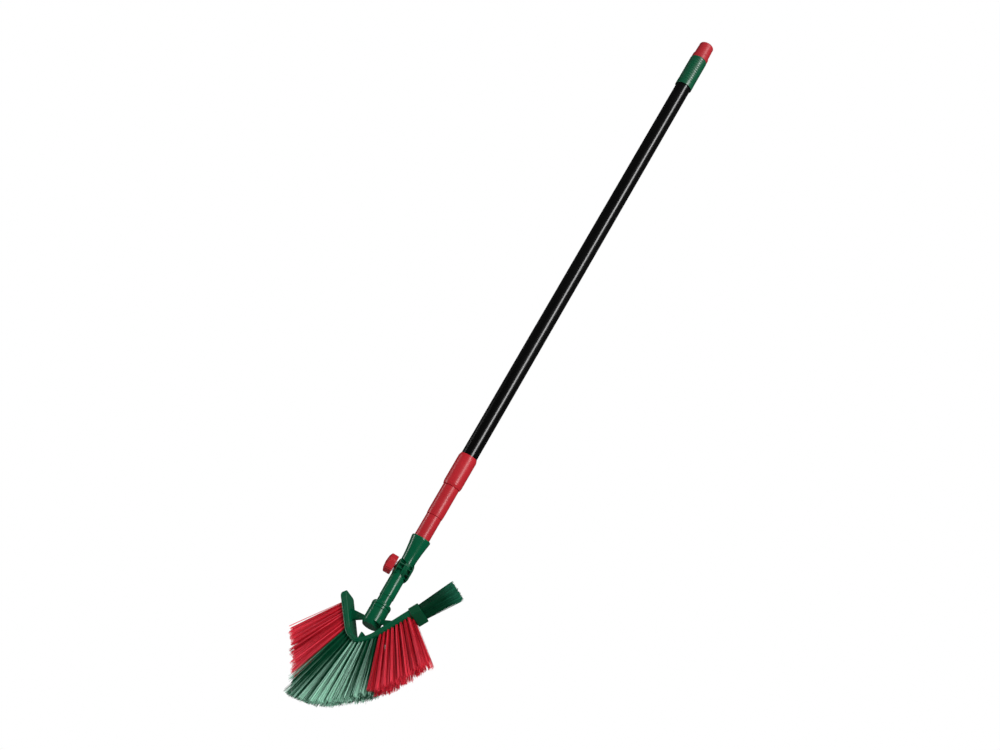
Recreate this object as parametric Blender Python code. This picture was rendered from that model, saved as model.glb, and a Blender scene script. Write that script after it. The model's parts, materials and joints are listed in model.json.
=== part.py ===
"""Angle broom: a V-shaped bristle head on a tilting joint and a three-stage pole.

The pole is three steel tubes that slide inside one another. Each inner tube carries
a cone and a split sleeve that grip the tube around it when the tube is twisted. The
lower end of the pole plugs into a joint that tilts about a bolt and is clamped by a
knob. The head screws onto the joint's lower arm.

Metres, +Z up along the pole. The origin is the centre of the hang hole in the end cap.
X is the joint's bolt, with the knob at -X. The bristles point down.
"""

import math

import bmesh
import bpy
from mathutils import Matrix, Vector

mm = 0.001
degree = math.pi / 180

# Clearances and cutting allowance
GAP = 0.3 * mm
OVERRUN = 3.0 * mm
MERGE = 0.001 * mm

# Round pieces
LARGE_SIDES = 32
SMALL_SIDES = 20
SHARP_ANGLE = 35.0 * degree
HEX_SIDES = 6
CORNER_STEPS = 2

# Pole tubes
OUTER_RADIUS = 14.0 * mm
MIDDLE_RADIUS = 12.5 * mm
INNER_RADIUS = 11.0 * mm
TUBE_WALL = 0.6 * mm

# Pole lengths from the hang hole down to the joint's bolt
CAP_ABOVE_HOLE = 6.5 * mm
CAP_BELOW_HOLE = 28.0 * mm
GRIP_LENGTH = 62.5 * mm
BARE_TUBE_LENGTH = 780.2 * mm
UPPER_COLLAR_LENGTH = 57.8 * mm
LOWER_COLLAR_LENGTH = 55.0 * mm
TIP_SHOWN_LENGTH = 39.9 * mm
FUNNEL_ABOVE_BOLT = 59.6 * mm

# End cap
CAP_TOP_RADIUS = 13.3 * mm
CAP_WAIST_RADIUS = 13.9 * mm
CAP_FOOT_RADIUS = 15.1 * mm
CAP_FLANGE_LENGTH = 8.5 * mm
CAP_TOP_FILLET = 3.4 * mm
CAP_FOOT_FILLET = 0.8 * mm
CAP_PLUG_LENGTH = 30.0 * mm
HANG_HOLE_RADIUS = 3.0 * mm

# Ribbed grip
GRIP_VALLEY_RADIUS = 15.0 * mm
GRIP_RIB_HEIGHT = 0.45 * mm
GRIP_RIB_PITCH = 4.6 * mm
GRIP_LIP_RADIUS = 15.75 * mm
GRIP_LIP_LENGTH = 11.0 * mm
GRIP_LIP_RISE = 1.5 * mm
GRIP_MOUTH_LENGTH = 1.4 * mm
GRIP_MOUTH_RADIUS = 15.4 * mm

# Collars
UPPER_COLLAR_RADIUS = 16.15 * mm
LOWER_COLLAR_RADIUS = 14.15 * mm
COLLAR_LIP_LENGTH = 9.4 * mm
COLLAR_CORNER_FILLET = 0.8 * mm
UPPER_COLLAR_SHOULDER_LENGTH = 4.8 * mm
UPPER_COLLAR_SHOULDER_DEPTH = 1.5 * mm
UPPER_COLLAR_DRAW_LENGTH = 4.6 * mm
UPPER_COLLAR_DRAW_DEPTH = 1.1 * mm
LOWER_COLLAR_SHOULDER_LENGTH = 1.2 * mm
LOWER_COLLAR_SHOULDER_DEPTH = 0.4 * mm
LOWER_COLLAR_DRAW_LENGTH = 6.5 * mm
LOWER_COLLAR_DRAW_DEPTH = 0.5 * mm

# Twist locks: a cone in a split sleeve at the top of each inner tube
LOCK_HEADROOM = 6.0 * mm
LOCK_SLEEVE_LENGTH = 36.0 * mm
LOCK_CONE_FOOT_SHARE = 0.45
LOCK_CONE_TOP_SHARE = 0.70
LOCK_PLUG_LENGTH = 20.0 * mm
LOCK_FLANGE_LENGTH = 2.0 * mm
LOCK_SLOT_ANGLE = 24.0 * degree

# Tip of the pole, which plugs into the joint's funnel
TIP_RADIUS = 13.2 * mm
TIP_END_RADIUS = 10.7 * mm
TIP_FILLET = 0.8 * mm
TIP_END_ABOVE_BOLT = 27.6 * mm
TIP_TUBE_SEAT_DEPTH = 52.0 * mm

# Joint, upper half: funnel and disc
FUNNEL_RIM_RADIUS = 16.35 * mm
FUNNEL_NECK_RADIUS = 12.1 * mm
FUNNEL_NECK_ABOVE_BOLT = 20.1 * mm
FUNNEL_RIM_LAND = 3.0 * mm
FUNNEL_RIM_FILLET = 1.8 * mm
FUNNEL_CURVE_POWER = 1.35
FUNNEL_CURVE_STEPS = 6
FUNNEL_ROOT_ABOVE_BOLT = 3.0 * mm

# Joint discs, both turned about the bolt
DISC_RADIUS = 17.0 * mm
DISC_CORE_RADIUS = 10.5 * mm
DISC_OUTER_X = 14.3 * mm
DISC_SEAM_X = 1.6 * mm
DISC_DOME = 2.8 * mm
DISC_SHOULDER_SHARE = 0.3
DISC_FACE_RADIUS = 9.0 * mm
DISC_INNER_WALL = 3.6 * mm
DISC_FORK_OUTER_WALL = 1.8 * mm
DISC_ARM_OUTER_WALL = 4.0 * mm
DISC_RIB_THICKNESS = 1.5 * mm
DISC_RIB_COUNT = 12
DISC_RIB_RECESS = 0.7 * mm
DISC_RIB_ROOT = 1.5 * mm
DISC_SWING_GAP = 0.7 * mm

# Joint, lower half: arm with its threaded end
ARM_SHIFT = 1.5 * mm
ARM_RADIUS = 12.1 * mm
ARM_ROOT_BELOW_BOLT = 3.0 * mm
ARM_SHOULDER_BELOW_BOLT = 52.0 * mm
ARM_NECK_RADIUS = 11.3 * mm
ARM_THREAD_LENGTH = 26.0 * mm
ARM_THREAD_CORE_RADIUS = 9.6 * mm
ARM_THREAD_RADIUS = 10.5 * mm
ARM_THREAD_PITCH = 4.0 * mm
ARM_THREAD_COUNT = 5
ARM_BEND = 15.0 * degree

# Clamp: bolt, washer, knob and its nut
BOLT_RADIUS = 3.0 * mm
BOLT_HEAD_RADIUS = 5.8 * mm
BOLT_HEAD_LENGTH = 4.0 * mm
BOLT_HEAD_SINK = 0.6 * mm
BOLT_HOLE_RADIUS = 3.4 * mm
WASHER_RADIUS = 8.5 * mm
WASHER_THICKNESS = 1.0 * mm
KNOB_RADIUS = 17.0 * mm
KNOB_THICKNESS = 15.4 * mm
KNOB_EDGE_THICKNESS = 11.4 * mm
KNOB_DOME_RADIUS = 10.0 * mm
KNOB_DOME_STEP = 1.0 * mm
KNOB_CHAMFER = 1.0 * mm
KNOB_EDGE_BEVEL = 1.6 * mm
KNOB_TURN = 6.0 * degree
NUT_RADIUS = 5.6 * mm
NUT_LENGTH = 6.0 * mm
KNOB_BORE_LENGTH = 11.0 * mm

# Head, measured in its own frame from a point on the socket's axis below the bolt
HEAD_BELOW_BOLT = 104.0 * mm
HEAD_TURN = -38.6 * degree
SOCKET_TOP = 39.0 * mm
SOCKET_WALL_FOOT = 2.6 * mm
SOCKET_BOTTOM = -2.0 * mm
SOCKET_BOTTOM_RADIUS = 13.2 * mm
SOCKET_NOTCH_X = 9.4 * mm
SOCKET_NOTCH_TOP = 5.0 * mm
SOCKET_RIM_RADIUS = 16.1 * mm
SOCKET_RADIUS = 15.6 * mm
SOCKET_BORE_RADIUS = 11.0 * mm
SOCKET_BORE_SPARE = 2.0 * mm
SOCKET_RIM_FILLET = 2.6 * mm
SOCKET_GROOVE_BELOW_TOP = 6.6 * mm
SOCKET_GROOVE_PITCH = 5.5 * mm
SOCKET_GROOVE_WIDTH = 1.5 * mm
SOCKET_GROOVE_DEPTH = 0.9 * mm

# Head band, a V whose arms leave a curved middle
BAND_WIDTH = 31.0 * mm
BAND_THICKNESS = 10.4 * mm
BAND_MIDDLE_THICKNESS = 7.9 * mm
BAND_APEX_BELOW = 38.8 * mm
BAND_CURVE_RADIUS = 55.6 * mm
BAND_START_ANGLE = 12.2 * degree
BAND_ARM_ANGLE = 51.5 * degree
BAND_CURVE_STEPS = 9
BAND_LEFT_END = 107.5 * mm
BAND_EDGE_BEVEL = 1.0 * mm
BAND_NOSE_RADIUS = 9.0 * mm
BAND_NOSE_STEPS = 5
BAND_CORNER_RADIUS = 6.0 * mm
BAND_CORNER_STEPS = 4

# Rib across the inside of the V's apex
RIB_HEIGHT = 12.4 * mm
RIB_THICKNESS = 3.0 * mm
RIB_LENGTH = 20.0 * mm

# Web between the socket and the arms
WEB_THICKNESS = 4.0 * mm
WEB_SOCKET_TOP = 13.5 * mm
WEB_SOCKET_FOOT = 6.5 * mm
WEB_ARM_TOP = 19.5 * mm
WEB_ARM_FOOT = -0.3 * mm
WEB_REACH = 3.0 * mm

# Bristle strips
BACKING = 2.2 * mm
BRISTLE_LENGTH = 120.0 * mm
TRIM_REACH = 65.0 * mm
TRIM_PLACE_SHARES = (-1.0, -0.58, -0.38, -0.08, 0.18, 0.46, 0.69, 1.0)
TRIM_LENGTH_SHARES = (0.73, 0.84, 1.0, 0.885, 0.81, 0.79, 0.775, 0.72)
TRIM_SLANT_SHARE = 0.15
FAN_RADIUS = 84.0 * mm
SIDE_FAN_RADIUS = 230.0 * mm
LEFT_STRIP_LENGTH = 52.0 * mm
LEFT_SPLIT = 35.3 * mm
RIGHT_SPLIT = 40.7 * mm
STRIP_ROWS = 5
SIDE_STRIP_CELLS = 9
MIDDLE_STRIP_CELLS = 12
STRAND_INSET = 1.1 * mm
STRAND_TIP_SHARE = 0.8

# Clip on the longer arm, and the end brush that it holds
CLIP_START = 98.0 * mm
CLIP_LENGTH = 16.8 * mm
CLIP_OUTER_WALL = 3.5 * mm
CLIP_INNER_WALL = 1.6 * mm
CLIP_SIDE_WALL = 1.3 * mm
CLIP_POCKET = 11.0 * mm
CLIP_BEVEL = 0.7 * mm
BRUSH_LENGTH = 61.0 * mm
BRUSH_SIDE_INSET = 1.2 * mm
BRUSH_FAN_RADIUS = 110.0 * mm
BRUSH_ROWS = 3
BRUSH_COLUMNS = 6

# Places along the pole
cap_foot_z = -CAP_BELOW_HOLE
grip_foot_z = cap_foot_z - GRIP_LENGTH
upper_collar_top_z = grip_foot_z - BARE_TUBE_LENGTH
upper_collar_foot_z = upper_collar_top_z - UPPER_COLLAR_LENGTH
lower_collar_top_z = upper_collar_foot_z - GAP
lower_collar_foot_z = lower_collar_top_z - LOWER_COLLAR_LENGTH
tip_top_z = lower_collar_foot_z - GAP
funnel_top_z = tip_top_z - TIP_SHOWN_LENGTH
bolt_z = funnel_top_z - FUNNEL_ABOVE_BOLT
outer_tube_foot_z = upper_collar_foot_z + COLLAR_LIP_LENGTH + GAP
middle_tube_foot_z = lower_collar_foot_z + COLLAR_LIP_LENGTH + GAP
inner_tube_foot_z = tip_top_z - TIP_TUBE_SEAT_DEPTH + GAP
lock_length = LOCK_SLEEVE_LENGTH + LOCK_FLANGE_LENGTH + 2 * GAP
middle_tube_top_z = cap_foot_z - CAP_PLUG_LENGTH - LOCK_HEADROOM - lock_length
inner_tube_top_z = middle_tube_top_z - LOCK_PLUG_LENGTH - LOCK_HEADROOM - lock_length

# Places across the joint, along the bolt
fork_inner_x = DISC_SEAM_X + GAP / 2
arm_inner_x = DISC_SEAM_X - GAP / 2
arm_outer_x = -DISC_OUTER_X
washer_x = arm_outer_x - GAP
knob_x = washer_x - WASHER_THICKNESS - GAP
swing_radius = DISC_RADIUS + DISC_SWING_GAP
arm_neck_foot = SOCKET_TOP - HEAD_BELOW_BOLT + GAP
socket_bore_floor = SOCKET_TOP - ARM_THREAD_LENGTH - SOCKET_BORE_SPARE
left_strip_end = LEFT_SPLIT + GAP + LEFT_STRIP_LENGTH


def material(name, colour, roughness, metallic=0.0):
    """Make a plain finish."""
    finish = bpy.data.materials.new(name)
    finish.use_nodes = True
    shader = finish.node_tree.nodes["Principled BSDF"]
    shader.inputs["Base Color"].default_value = (*colour, 1.0)
    shader.inputs["Roughness"].default_value = roughness
    shader.inputs["Metallic"].default_value = metallic
    return finish


def clear_scene():
    """Remove whatever the open file holds."""
    for item in list(bpy.data.objects):
        bpy.data.objects.remove(item, do_unlink=True)


def empty(name, place, parent=None):
    """Add an axis marker that carries other objects."""
    marker = bpy.data.objects.new(name, None)
    marker.matrix_local = place
    marker.parent = parent
    bpy.context.scene.collection.objects.link(marker)
    return marker


def finish_object(name, shape, look, parent=None):
    """Turn an edit mesh into a smooth-shaded object under its parent."""
    bmesh.ops.remove_doubles(shape, verts=shape.verts, dist=MERGE)
    bmesh.ops.recalc_face_normals(shape, faces=shape.faces)
    mesh = bpy.data.meshes.new(name)
    shape.to_mesh(mesh)
    shape.free()
    mesh.shade_smooth()
    mesh.set_sharp_from_angle(angle=SHARP_ANGLE)
    if look:
        mesh.materials.append(look)
    item = bpy.data.objects.new(name, mesh)
    item.parent = parent
    bpy.context.scene.collection.objects.link(item)
    return item


def rounded(points):
    """Replace each corner (r, z, fillet) by an arc of that fillet; give plain (r, z)."""
    count = len(points)
    outline = []
    for index, (r, z, fillet) in enumerate(points):
        corner = Vector((r, z))
        if fillet == 0:
            outline.append(corner)
            continue
        before = Vector(points[index - 1][:2]) - corner
        after = Vector(points[(index + 1) % count][:2]) - corner
        turn = math.pi - before.angle(after)
        reach = fillet * math.tan(turn / 2)
        start = corner + before.normalized() * reach
        middle = (before.normalized() + after.normalized()).normalized()
        centre = corner + middle * (fillet / math.cos(turn / 2))
        spoke = start - centre
        sense = 1 if before.x * after.y - before.y * after.x < 0 else -1
        for step in range(CORNER_STEPS + 1):
            angle = sense * turn * step / CORNER_STEPS
            outline.append(centre + Matrix.Rotation(angle, 2) @ spoke)
    return [(max(point.x, 0.0), point.y) for point in outline]


def spin_profile(points, sides, angle=2 * math.pi):
    """Spin (r, z) points about Z. A profile that ends on the axis stays open there."""
    shape = bmesh.new()
    verts = [shape.verts.new((r, 0, z)) for r, z in points]
    edges = [shape.edges.new(pair) for pair in zip(verts, verts[1:])]
    if points[0][0] > 0 or points[-1][0] > 0:
        edges.append(shape.edges.new((verts[-1], verts[0])))
    whole = math.isclose(angle, 2 * math.pi)
    bmesh.ops.spin(
        shape, geom=verts + edges, cent=(0, 0, 0), axis=(0, 0, 1),
        angle=angle, steps=sides, use_merge=whole,
    )
    bmesh.ops.remove_doubles(shape, verts=shape.verts, dist=MERGE)
    if not whole:
        open_edges = [edge for edge in shape.edges if edge.is_boundary]
        bmesh.ops.holes_fill(shape, edges=open_edges, sides=0)
    return shape


def turned(name, points, sides, look, parent=None):
    """Make a piece turned about Z from (r, z) points."""
    return finish_object(name, spin_profile(points, sides), look, parent)


def turned_about_bolt(name, points, sides, look, parent=None, turn=0.0):
    """Make a piece turned about X from (r, x) points."""
    shape = spin_profile(points, sides)
    lay_down = Matrix.Rotation(math.pi / 2, 4, "Y") @ Matrix.Rotation(turn, 4, "Z")
    bmesh.ops.transform(shape, matrix=lay_down, verts=shape.verts)
    return finish_object(name, shape, look, parent)


def prism(name, outline, lift, look, place, parent=None):
    """Extrude a flat outline by the vector lift, then place it by a matrix."""
    shape = bmesh.new()
    face = shape.faces.new([shape.verts.new(point) for point in outline])
    grown = bmesh.ops.extrude_face_region(shape, geom=[face])["geom"]
    moved = [item for item in grown if isinstance(item, bmesh.types.BMVert)]
    bmesh.ops.translate(shape, verts=moved, vec=lift)
    bmesh.ops.transform(shape, matrix=place, verts=shape.verts)
    return finish_object(name, shape, look, parent)


def block(name, low, high, look, place, parent=None, bevel=0.0):
    """Make a box between two corners of the frame that place gives."""
    low = Vector(low)
    high = Vector(high)
    shape = bmesh.new()
    bmesh.ops.create_cube(shape, size=1.0)
    size = high - low
    bmesh.ops.scale(shape, vec=size, verts=shape.verts)
    bmesh.ops.translate(shape, vec=(low + high) / 2, verts=shape.verts)
    if bevel:
        bmesh.ops.bevel(
            shape, geom=shape.edges[:], offset=bevel, segments=1, affect="EDGES",
        )
    bmesh.ops.transform(shape, matrix=place, verts=shape.verts)
    return finish_object(name, shape, look, parent)


def combine(target, tool, operation):
    """Join or cut with another object, which stays as a hidden guide."""
    step = target.modifiers.new(tool.name, "BOOLEAN")
    step.operation = operation
    step.object = tool
    tool.hide_render = True
    tool.display_type = "WIRE"


def tube(name, radius, top, foot, look, parent=None):
    """Make one steel tube."""
    bore = radius - TUBE_WALL
    points = [(bore, foot), (radius, foot), (radius, top), (bore, top)]
    return turned(name, points, LARGE_SIDES, look, parent)


def end_cap(look):
    """Make the cap: a flanged knob with a plug in the tube and a hang hole across it."""
    plug = OUTER_RADIUS - TUBE_WALL - GAP
    foot = cap_foot_z + GAP
    points = rounded([
        (0, CAP_ABOVE_HOLE, 0),
        (CAP_TOP_RADIUS, CAP_ABOVE_HOLE, CAP_TOP_FILLET),
        (CAP_WAIST_RADIUS, foot + CAP_FLANGE_LENGTH, 0),
        (CAP_FOOT_RADIUS, foot + CAP_FLANGE_LENGTH, CAP_FOOT_FILLET),
        (CAP_FOOT_RADIUS, foot, 0),
        (plug, foot, 0),
        (plug, cap_foot_z - CAP_PLUG_LENGTH, CAP_FOOT_FILLET),
        (0, cap_foot_z - CAP_PLUG_LENGTH, 0),
    ])
    cap = turned("end_cap", points, LARGE_SIDES, look)
    reach = CAP_FOOT_RADIUS + OVERRUN
    hole = [(0, -reach), (HANG_HOLE_RADIUS, -reach), (HANG_HOLE_RADIUS, reach), (0, reach)]
    combine(cap, turned_about_bolt("hang_hole_cutter", hole, SMALL_SIDES, None), "DIFFERENCE")
    return cap


def grip(look):
    """Make the sleeve with rounded ribs all along it and a plain, flared lip at its foot."""
    bore = OUTER_RADIUS + GAP
    lip_top = grip_foot_z + GRIP_LIP_LENGTH
    ribs = int((cap_foot_z - lip_top) / GRIP_RIB_PITCH)
    pitch = (cap_foot_z - lip_top) / ribs
    points = [
        (bore, cap_foot_z), (bore, grip_foot_z + GRIP_MOUTH_LENGTH),
        (GRIP_MOUTH_RADIUS, grip_foot_z), (GRIP_LIP_RADIUS, grip_foot_z),
        (GRIP_LIP_RADIUS, lip_top - GRIP_LIP_RISE),
    ]
    for rib in range(ribs):
        valley = lip_top + rib * pitch
        points.append((GRIP_VALLEY_RADIUS, valley))
        points.append((GRIP_VALLEY_RADIUS + GRIP_RIB_HEIGHT, valley + pitch / 2))
    points.append((GRIP_VALLEY_RADIUS, cap_foot_z))
    return turned("grip", points, LARGE_SIDES, look)


def collar(name, radius, held_radius, passing_radius, top, foot, shoulder, draw, look):
    """Make a collar: it holds one tube and lets the next one pass through its lip.

    shoulder and draw are the (length, depth) by which its top and its foot draw in.
    """
    seat = held_radius + GAP
    lip = passing_radius + GAP
    lip_top = foot + COLLAR_LIP_LENGTH
    points = rounded([
        (seat, top, 0),
        (seat, lip_top, 0),
        (lip, lip_top, 0),
        (lip, foot, 0),
        (radius - draw[1], foot, 0),
        (radius, foot + draw[0], COLLAR_CORNER_FILLET),
        (radius, top - shoulder[0], COLLAR_CORNER_FILLET),
        (radius - shoulder[1], top, 0),
    ])
    return turned(name, points, LARGE_SIDES, look)


def lock_cone(name, tube_radius, tube_top, bore_radius, look):
    """Make the plug in an inner tube's top, with its flange and tapered cone."""
    plug = tube_radius - TUBE_WALL - GAP
    flange_foot = tube_top + GAP
    flange_top = flange_foot + LOCK_FLANGE_LENGTH
    cone_top = flange_top + LOCK_SLEEVE_LENGTH
    points = [
        (0, cone_top),
        (bore_radius * LOCK_CONE_TOP_SHARE, cone_top),
        (bore_radius * LOCK_CONE_FOOT_SHARE, flange_top),
        (tube_radius, flange_top),
        (tube_radius, flange_foot),
        (plug, flange_foot),
        (plug, tube_top - LOCK_PLUG_LENGTH),
        (0, tube_top - LOCK_PLUG_LENGTH),
    ]
    return turned(name, points, SMALL_SIDES, look)


def lock_sleeve(name, tube_top, bore_radius, look):
    """Make the split sleeve that the cone spreads against the outer tube's bore."""
    foot = tube_top + LOCK_FLANGE_LENGTH + 2 * GAP
    top = foot + LOCK_SLEEVE_LENGTH - GAP
    points = [
        (bore_radius * LOCK_CONE_TOP_SHARE + GAP, top),
        (bore_radius * LOCK_CONE_FOOT_SHARE + GAP, foot),
        (bore_radius - GAP, foot),
        (bore_radius - GAP, top),
    ]
    shape = spin_profile(points, LARGE_SIDES, 2 * math.pi - LOCK_SLOT_ANGLE)
    return finish_object(name, shape, look)


def pole_tip(look):
    """Make the tip: straight where it shows, tapered inside the funnel."""
    bore = INNER_RADIUS + GAP
    seat = tip_top_z - TIP_TUBE_SEAT_DEPTH
    end = bolt_z + TIP_END_ABOVE_BOLT
    points = rounded([
        (0, end, 0),
        (TIP_END_RADIUS, end, 0),
        (TIP_RADIUS, funnel_top_z, 0),
        (TIP_RADIUS, tip_top_z, TIP_FILLET),
        (bore, tip_top_z, 0),
        (bore, seat, 0),
        (0, seat, 0),
    ])
    return turned("pole_tip", points, LARGE_SIDES, look)


def groove_side(outer, outer_wall):
    """Give the x of a disc groove's outer side, within the disc's domed face."""
    sense = 1 if outer > 0 else -1
    return outer - sense * max(outer_wall, DISC_DOME + GAP)


def disc_profile(inner, outer, outer_wall):
    """Give a joint disc's (r, x) outline: flat seam face, rim groove and domed outer face."""
    sense = 1 if outer > inner else -1
    rim = outer - sense * DISC_DOME
    shoulder = outer - sense * DISC_DOME * DISC_SHOULDER_SHARE
    groove_in = inner + sense * DISC_INNER_WALL
    groove_out = groove_side(outer, outer_wall)
    face_to_rim = (DISC_FACE_RADIUS + DISC_RADIUS) / 2
    return [
        (0, inner),
        (DISC_RADIUS, inner),
        (DISC_RADIUS, groove_in),
        (DISC_CORE_RADIUS, groove_in),
        (DISC_CORE_RADIUS, groove_out),
        (DISC_RADIUS, groove_out),
        (DISC_RADIUS, rim),
        (face_to_rim, shoulder),
        (DISC_FACE_RADIUS, outer),
        (0, outer),
    ]


def disc_ribs(name, inner, outer, outer_wall, parent):
    """Make the spokes that bridge a disc's rim groove, as a guide to be joined."""
    sense = 1 if outer > inner else -1
    reach = DISC_RADIUS - DISC_RIB_RECESS
    start = inner + sense * DISC_INNER_WALL / 2
    end = groove_side(outer, outer_wall) + sense * GAP / 2
    low_x = min(start, end)
    high_x = max(start, end)
    start_radius = DISC_CORE_RADIUS - DISC_RIB_ROOT
    size = (high_x - low_x, reach - start_radius, DISC_RIB_THICKNESS)
    centre = ((low_x + high_x) / 2, (reach + start_radius) / 2, 0)
    shape = bmesh.new()
    for index in range(DISC_RIB_COUNT):
        made = bmesh.ops.create_cube(shape, size=1.0)["verts"]
        bmesh.ops.scale(shape, vec=size, verts=made)
        bmesh.ops.translate(shape, vec=centre, verts=made)
        angle = (index + 1 / 2) * 2 * math.pi / DISC_RIB_COUNT
        spoke = Matrix.Rotation(angle, 3, "X")
        bmesh.ops.rotate(shape, cent=(0, 0, 0), matrix=spoke, verts=made)
    mesh = bpy.data.meshes.new(name)
    shape.to_mesh(mesh)
    shape.free()
    ribs = bpy.data.objects.new(name, mesh)
    ribs.parent = parent
    bpy.context.scene.collection.objects.link(ribs)
    return ribs


def bolt_hole(name, parent):
    """Make the cutter for the bolt's hole through a disc."""
    reach = DISC_OUTER_X + OVERRUN
    points = [(0, -reach), (BOLT_HOLE_RADIUS, -reach), (BOLT_HOLE_RADIUS, reach), (0, reach)]
    return turned_about_bolt(name, points, SMALL_SIDES, None, parent)


def swing_cutter(name, seam, far, parent):
    """Make the cutter that clears the other half's disc as it swings past."""
    points = [(0, seam), (swing_radius, seam), (swing_radius, far), (0, far)]
    return turned_about_bolt(name, points, LARGE_SIDES, None, parent)


def funnel_outline():
    """Give the funnel's outside (r, z) from its root up, as a smooth flare."""
    outline = []
    land_foot = FUNNEL_ABOVE_BOLT - FUNNEL_RIM_LAND
    for step in range(FUNNEL_CURVE_STEPS + 1):
        share = step / FUNNEL_CURVE_STEPS
        r = FUNNEL_NECK_RADIUS
        r += (FUNNEL_RIM_RADIUS - FUNNEL_NECK_RADIUS) * share ** FUNNEL_CURVE_POWER
        z = FUNNEL_NECK_ABOVE_BOLT + (land_foot - FUNNEL_NECK_ABOVE_BOLT) * share
        outline.append((r, z, 0))
    return outline


def joint_fork(look, bolt):
    """Make the joint's upper half: funnel, neck and the disc on the right."""
    root = (FUNNEL_NECK_RADIUS, FUNNEL_ROOT_ABOVE_BOLT, 0)
    floor = TIP_END_ABOVE_BOLT - GAP
    points = rounded(
        [(0, FUNNEL_ROOT_ABOVE_BOLT, 0), root]
        + funnel_outline()
        + [
            (FUNNEL_RIM_RADIUS, FUNNEL_ABOVE_BOLT, FUNNEL_RIM_FILLET),
            (TIP_RADIUS + GAP, FUNNEL_ABOVE_BOLT, 0),
            (TIP_END_RADIUS + GAP, floor, 0),
            (0, floor, 0),
        ]
    )
    fork = turned("joint_fork", points, LARGE_SIDES, look, bolt)
    near = fork_inner_x + GAP
    gap_cut = swing_cutter("fork_swing_cutter", near, arm_outer_x - OVERRUN, bolt)
    combine(fork, gap_cut, "DIFFERENCE")
    outline = disc_profile(fork_inner_x, DISC_OUTER_X, DISC_FORK_OUTER_WALL)
    disc = turned_about_bolt("fork_disc", outline, LARGE_SIDES, look, bolt)
    combine(fork, disc, "UNION")
    ribs = disc_ribs("fork_ribs", fork_inner_x, DISC_OUTER_X, DISC_FORK_OUTER_WALL, bolt)
    combine(fork, ribs, "UNION")
    combine(fork, bolt_hole("fork_bolt_hole", bolt), "DIFFERENCE")
    pocket_x = DISC_OUTER_X - BOLT_HEAD_SINK - BOLT_HEAD_LENGTH - GAP
    pocket_radius = BOLT_HEAD_RADIUS + 2 * GAP
    pocket = [
        (0, pocket_x), (pocket_radius, pocket_x),
        (pocket_radius, DISC_OUTER_X + OVERRUN), (0, DISC_OUTER_X + OVERRUN),
    ]
    cutter = turned_about_bolt("bolt_head_pocket", pocket, HEX_SIDES, None, bolt)
    combine(fork, cutter, "DIFFERENCE")
    return fork


def thread_outline():
    """Give the threaded end's (r, z) steps below the arm's neck, from its foot up."""
    foot = arm_neck_foot - ARM_THREAD_LENGTH
    outline = [(0, foot), (ARM_THREAD_CORE_RADIUS, foot)]
    for index in range(ARM_THREAD_COUNT):
        root = foot + (index + 1 / 2) * ARM_THREAD_PITCH
        outline.append((ARM_THREAD_CORE_RADIUS, root))
        outline.append((ARM_THREAD_RADIUS, root + ARM_THREAD_PITCH / 2))
    outline.append((ARM_THREAD_CORE_RADIUS, arm_neck_foot))
    return outline


def joint_arm(look, tilt):
    """Make the joint's lower half: the disc on the left, the arm and its threaded end."""
    step = ARM_RADIUS - ARM_NECK_RADIUS
    points = thread_outline() + [
        (ARM_NECK_RADIUS, arm_neck_foot),
        (ARM_NECK_RADIUS, -ARM_SHOULDER_BELOW_BOLT - step),
        (ARM_RADIUS, -ARM_SHOULDER_BELOW_BOLT),
        (ARM_RADIUS, -ARM_ROOT_BELOW_BOLT),
        (0, -ARM_ROOT_BELOW_BOLT),
    ]
    shape = spin_profile(points, LARGE_SIDES)
    bmesh.ops.translate(shape, vec=(-ARM_SHIFT, 0, 0), verts=shape.verts)
    arm = finish_object("joint_arm", shape, look, tilt)
    near = arm_inner_x - GAP
    gap_cut = swing_cutter("arm_swing_cutter", near, DISC_OUTER_X + OVERRUN, tilt)
    combine(arm, gap_cut, "DIFFERENCE")
    outline = disc_profile(arm_inner_x, arm_outer_x, DISC_ARM_OUTER_WALL)
    disc = turned_about_bolt("arm_disc", outline, LARGE_SIDES, look, tilt)
    combine(arm, disc, "UNION")
    ribs = disc_ribs("arm_ribs", arm_inner_x, arm_outer_x, DISC_ARM_OUTER_WALL, tilt)
    combine(arm, ribs, "UNION")
    combine(arm, bolt_hole("arm_bolt_hole", tilt), "DIFFERENCE")
    return arm


def clamp_bolt(look, bolt):
    """Make the bolt: a hexagon head sunk in the fork's disc and a shank to the knob."""
    head_out = DISC_OUTER_X - BOLT_HEAD_SINK
    head_in = head_out - BOLT_HEAD_LENGTH
    shank_end = knob_x - KNOB_BORE_LENGTH + 2 * GAP
    shank = [
        (0, shank_end), (BOLT_RADIUS, shank_end),
        (BOLT_RADIUS, head_in + GAP), (0, head_in + GAP),
    ]
    piece = turned_about_bolt("clamp_bolt", shank, SMALL_SIDES, look, bolt)
    head = [
        (0, head_in), (BOLT_HEAD_RADIUS, head_in),
        (BOLT_HEAD_RADIUS, head_out), (0, head_out),
    ]
    combine(piece, turned_about_bolt("bolt_head", head, HEX_SIDES, look, bolt), "UNION")
    return piece


def clamp_washer(look, knob_axis):
    """Make the washer between the arm's disc and the knob."""
    points = [
        (BOLT_HOLE_RADIUS, washer_x), (BOLT_HOLE_RADIUS, washer_x - WASHER_THICKNESS),
        (WASHER_RADIUS, washer_x - WASHER_THICKNESS), (WASHER_RADIUS, washer_x),
    ]
    return turned_about_bolt("clamp_washer", points, SMALL_SIDES, look, knob_axis)


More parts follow.
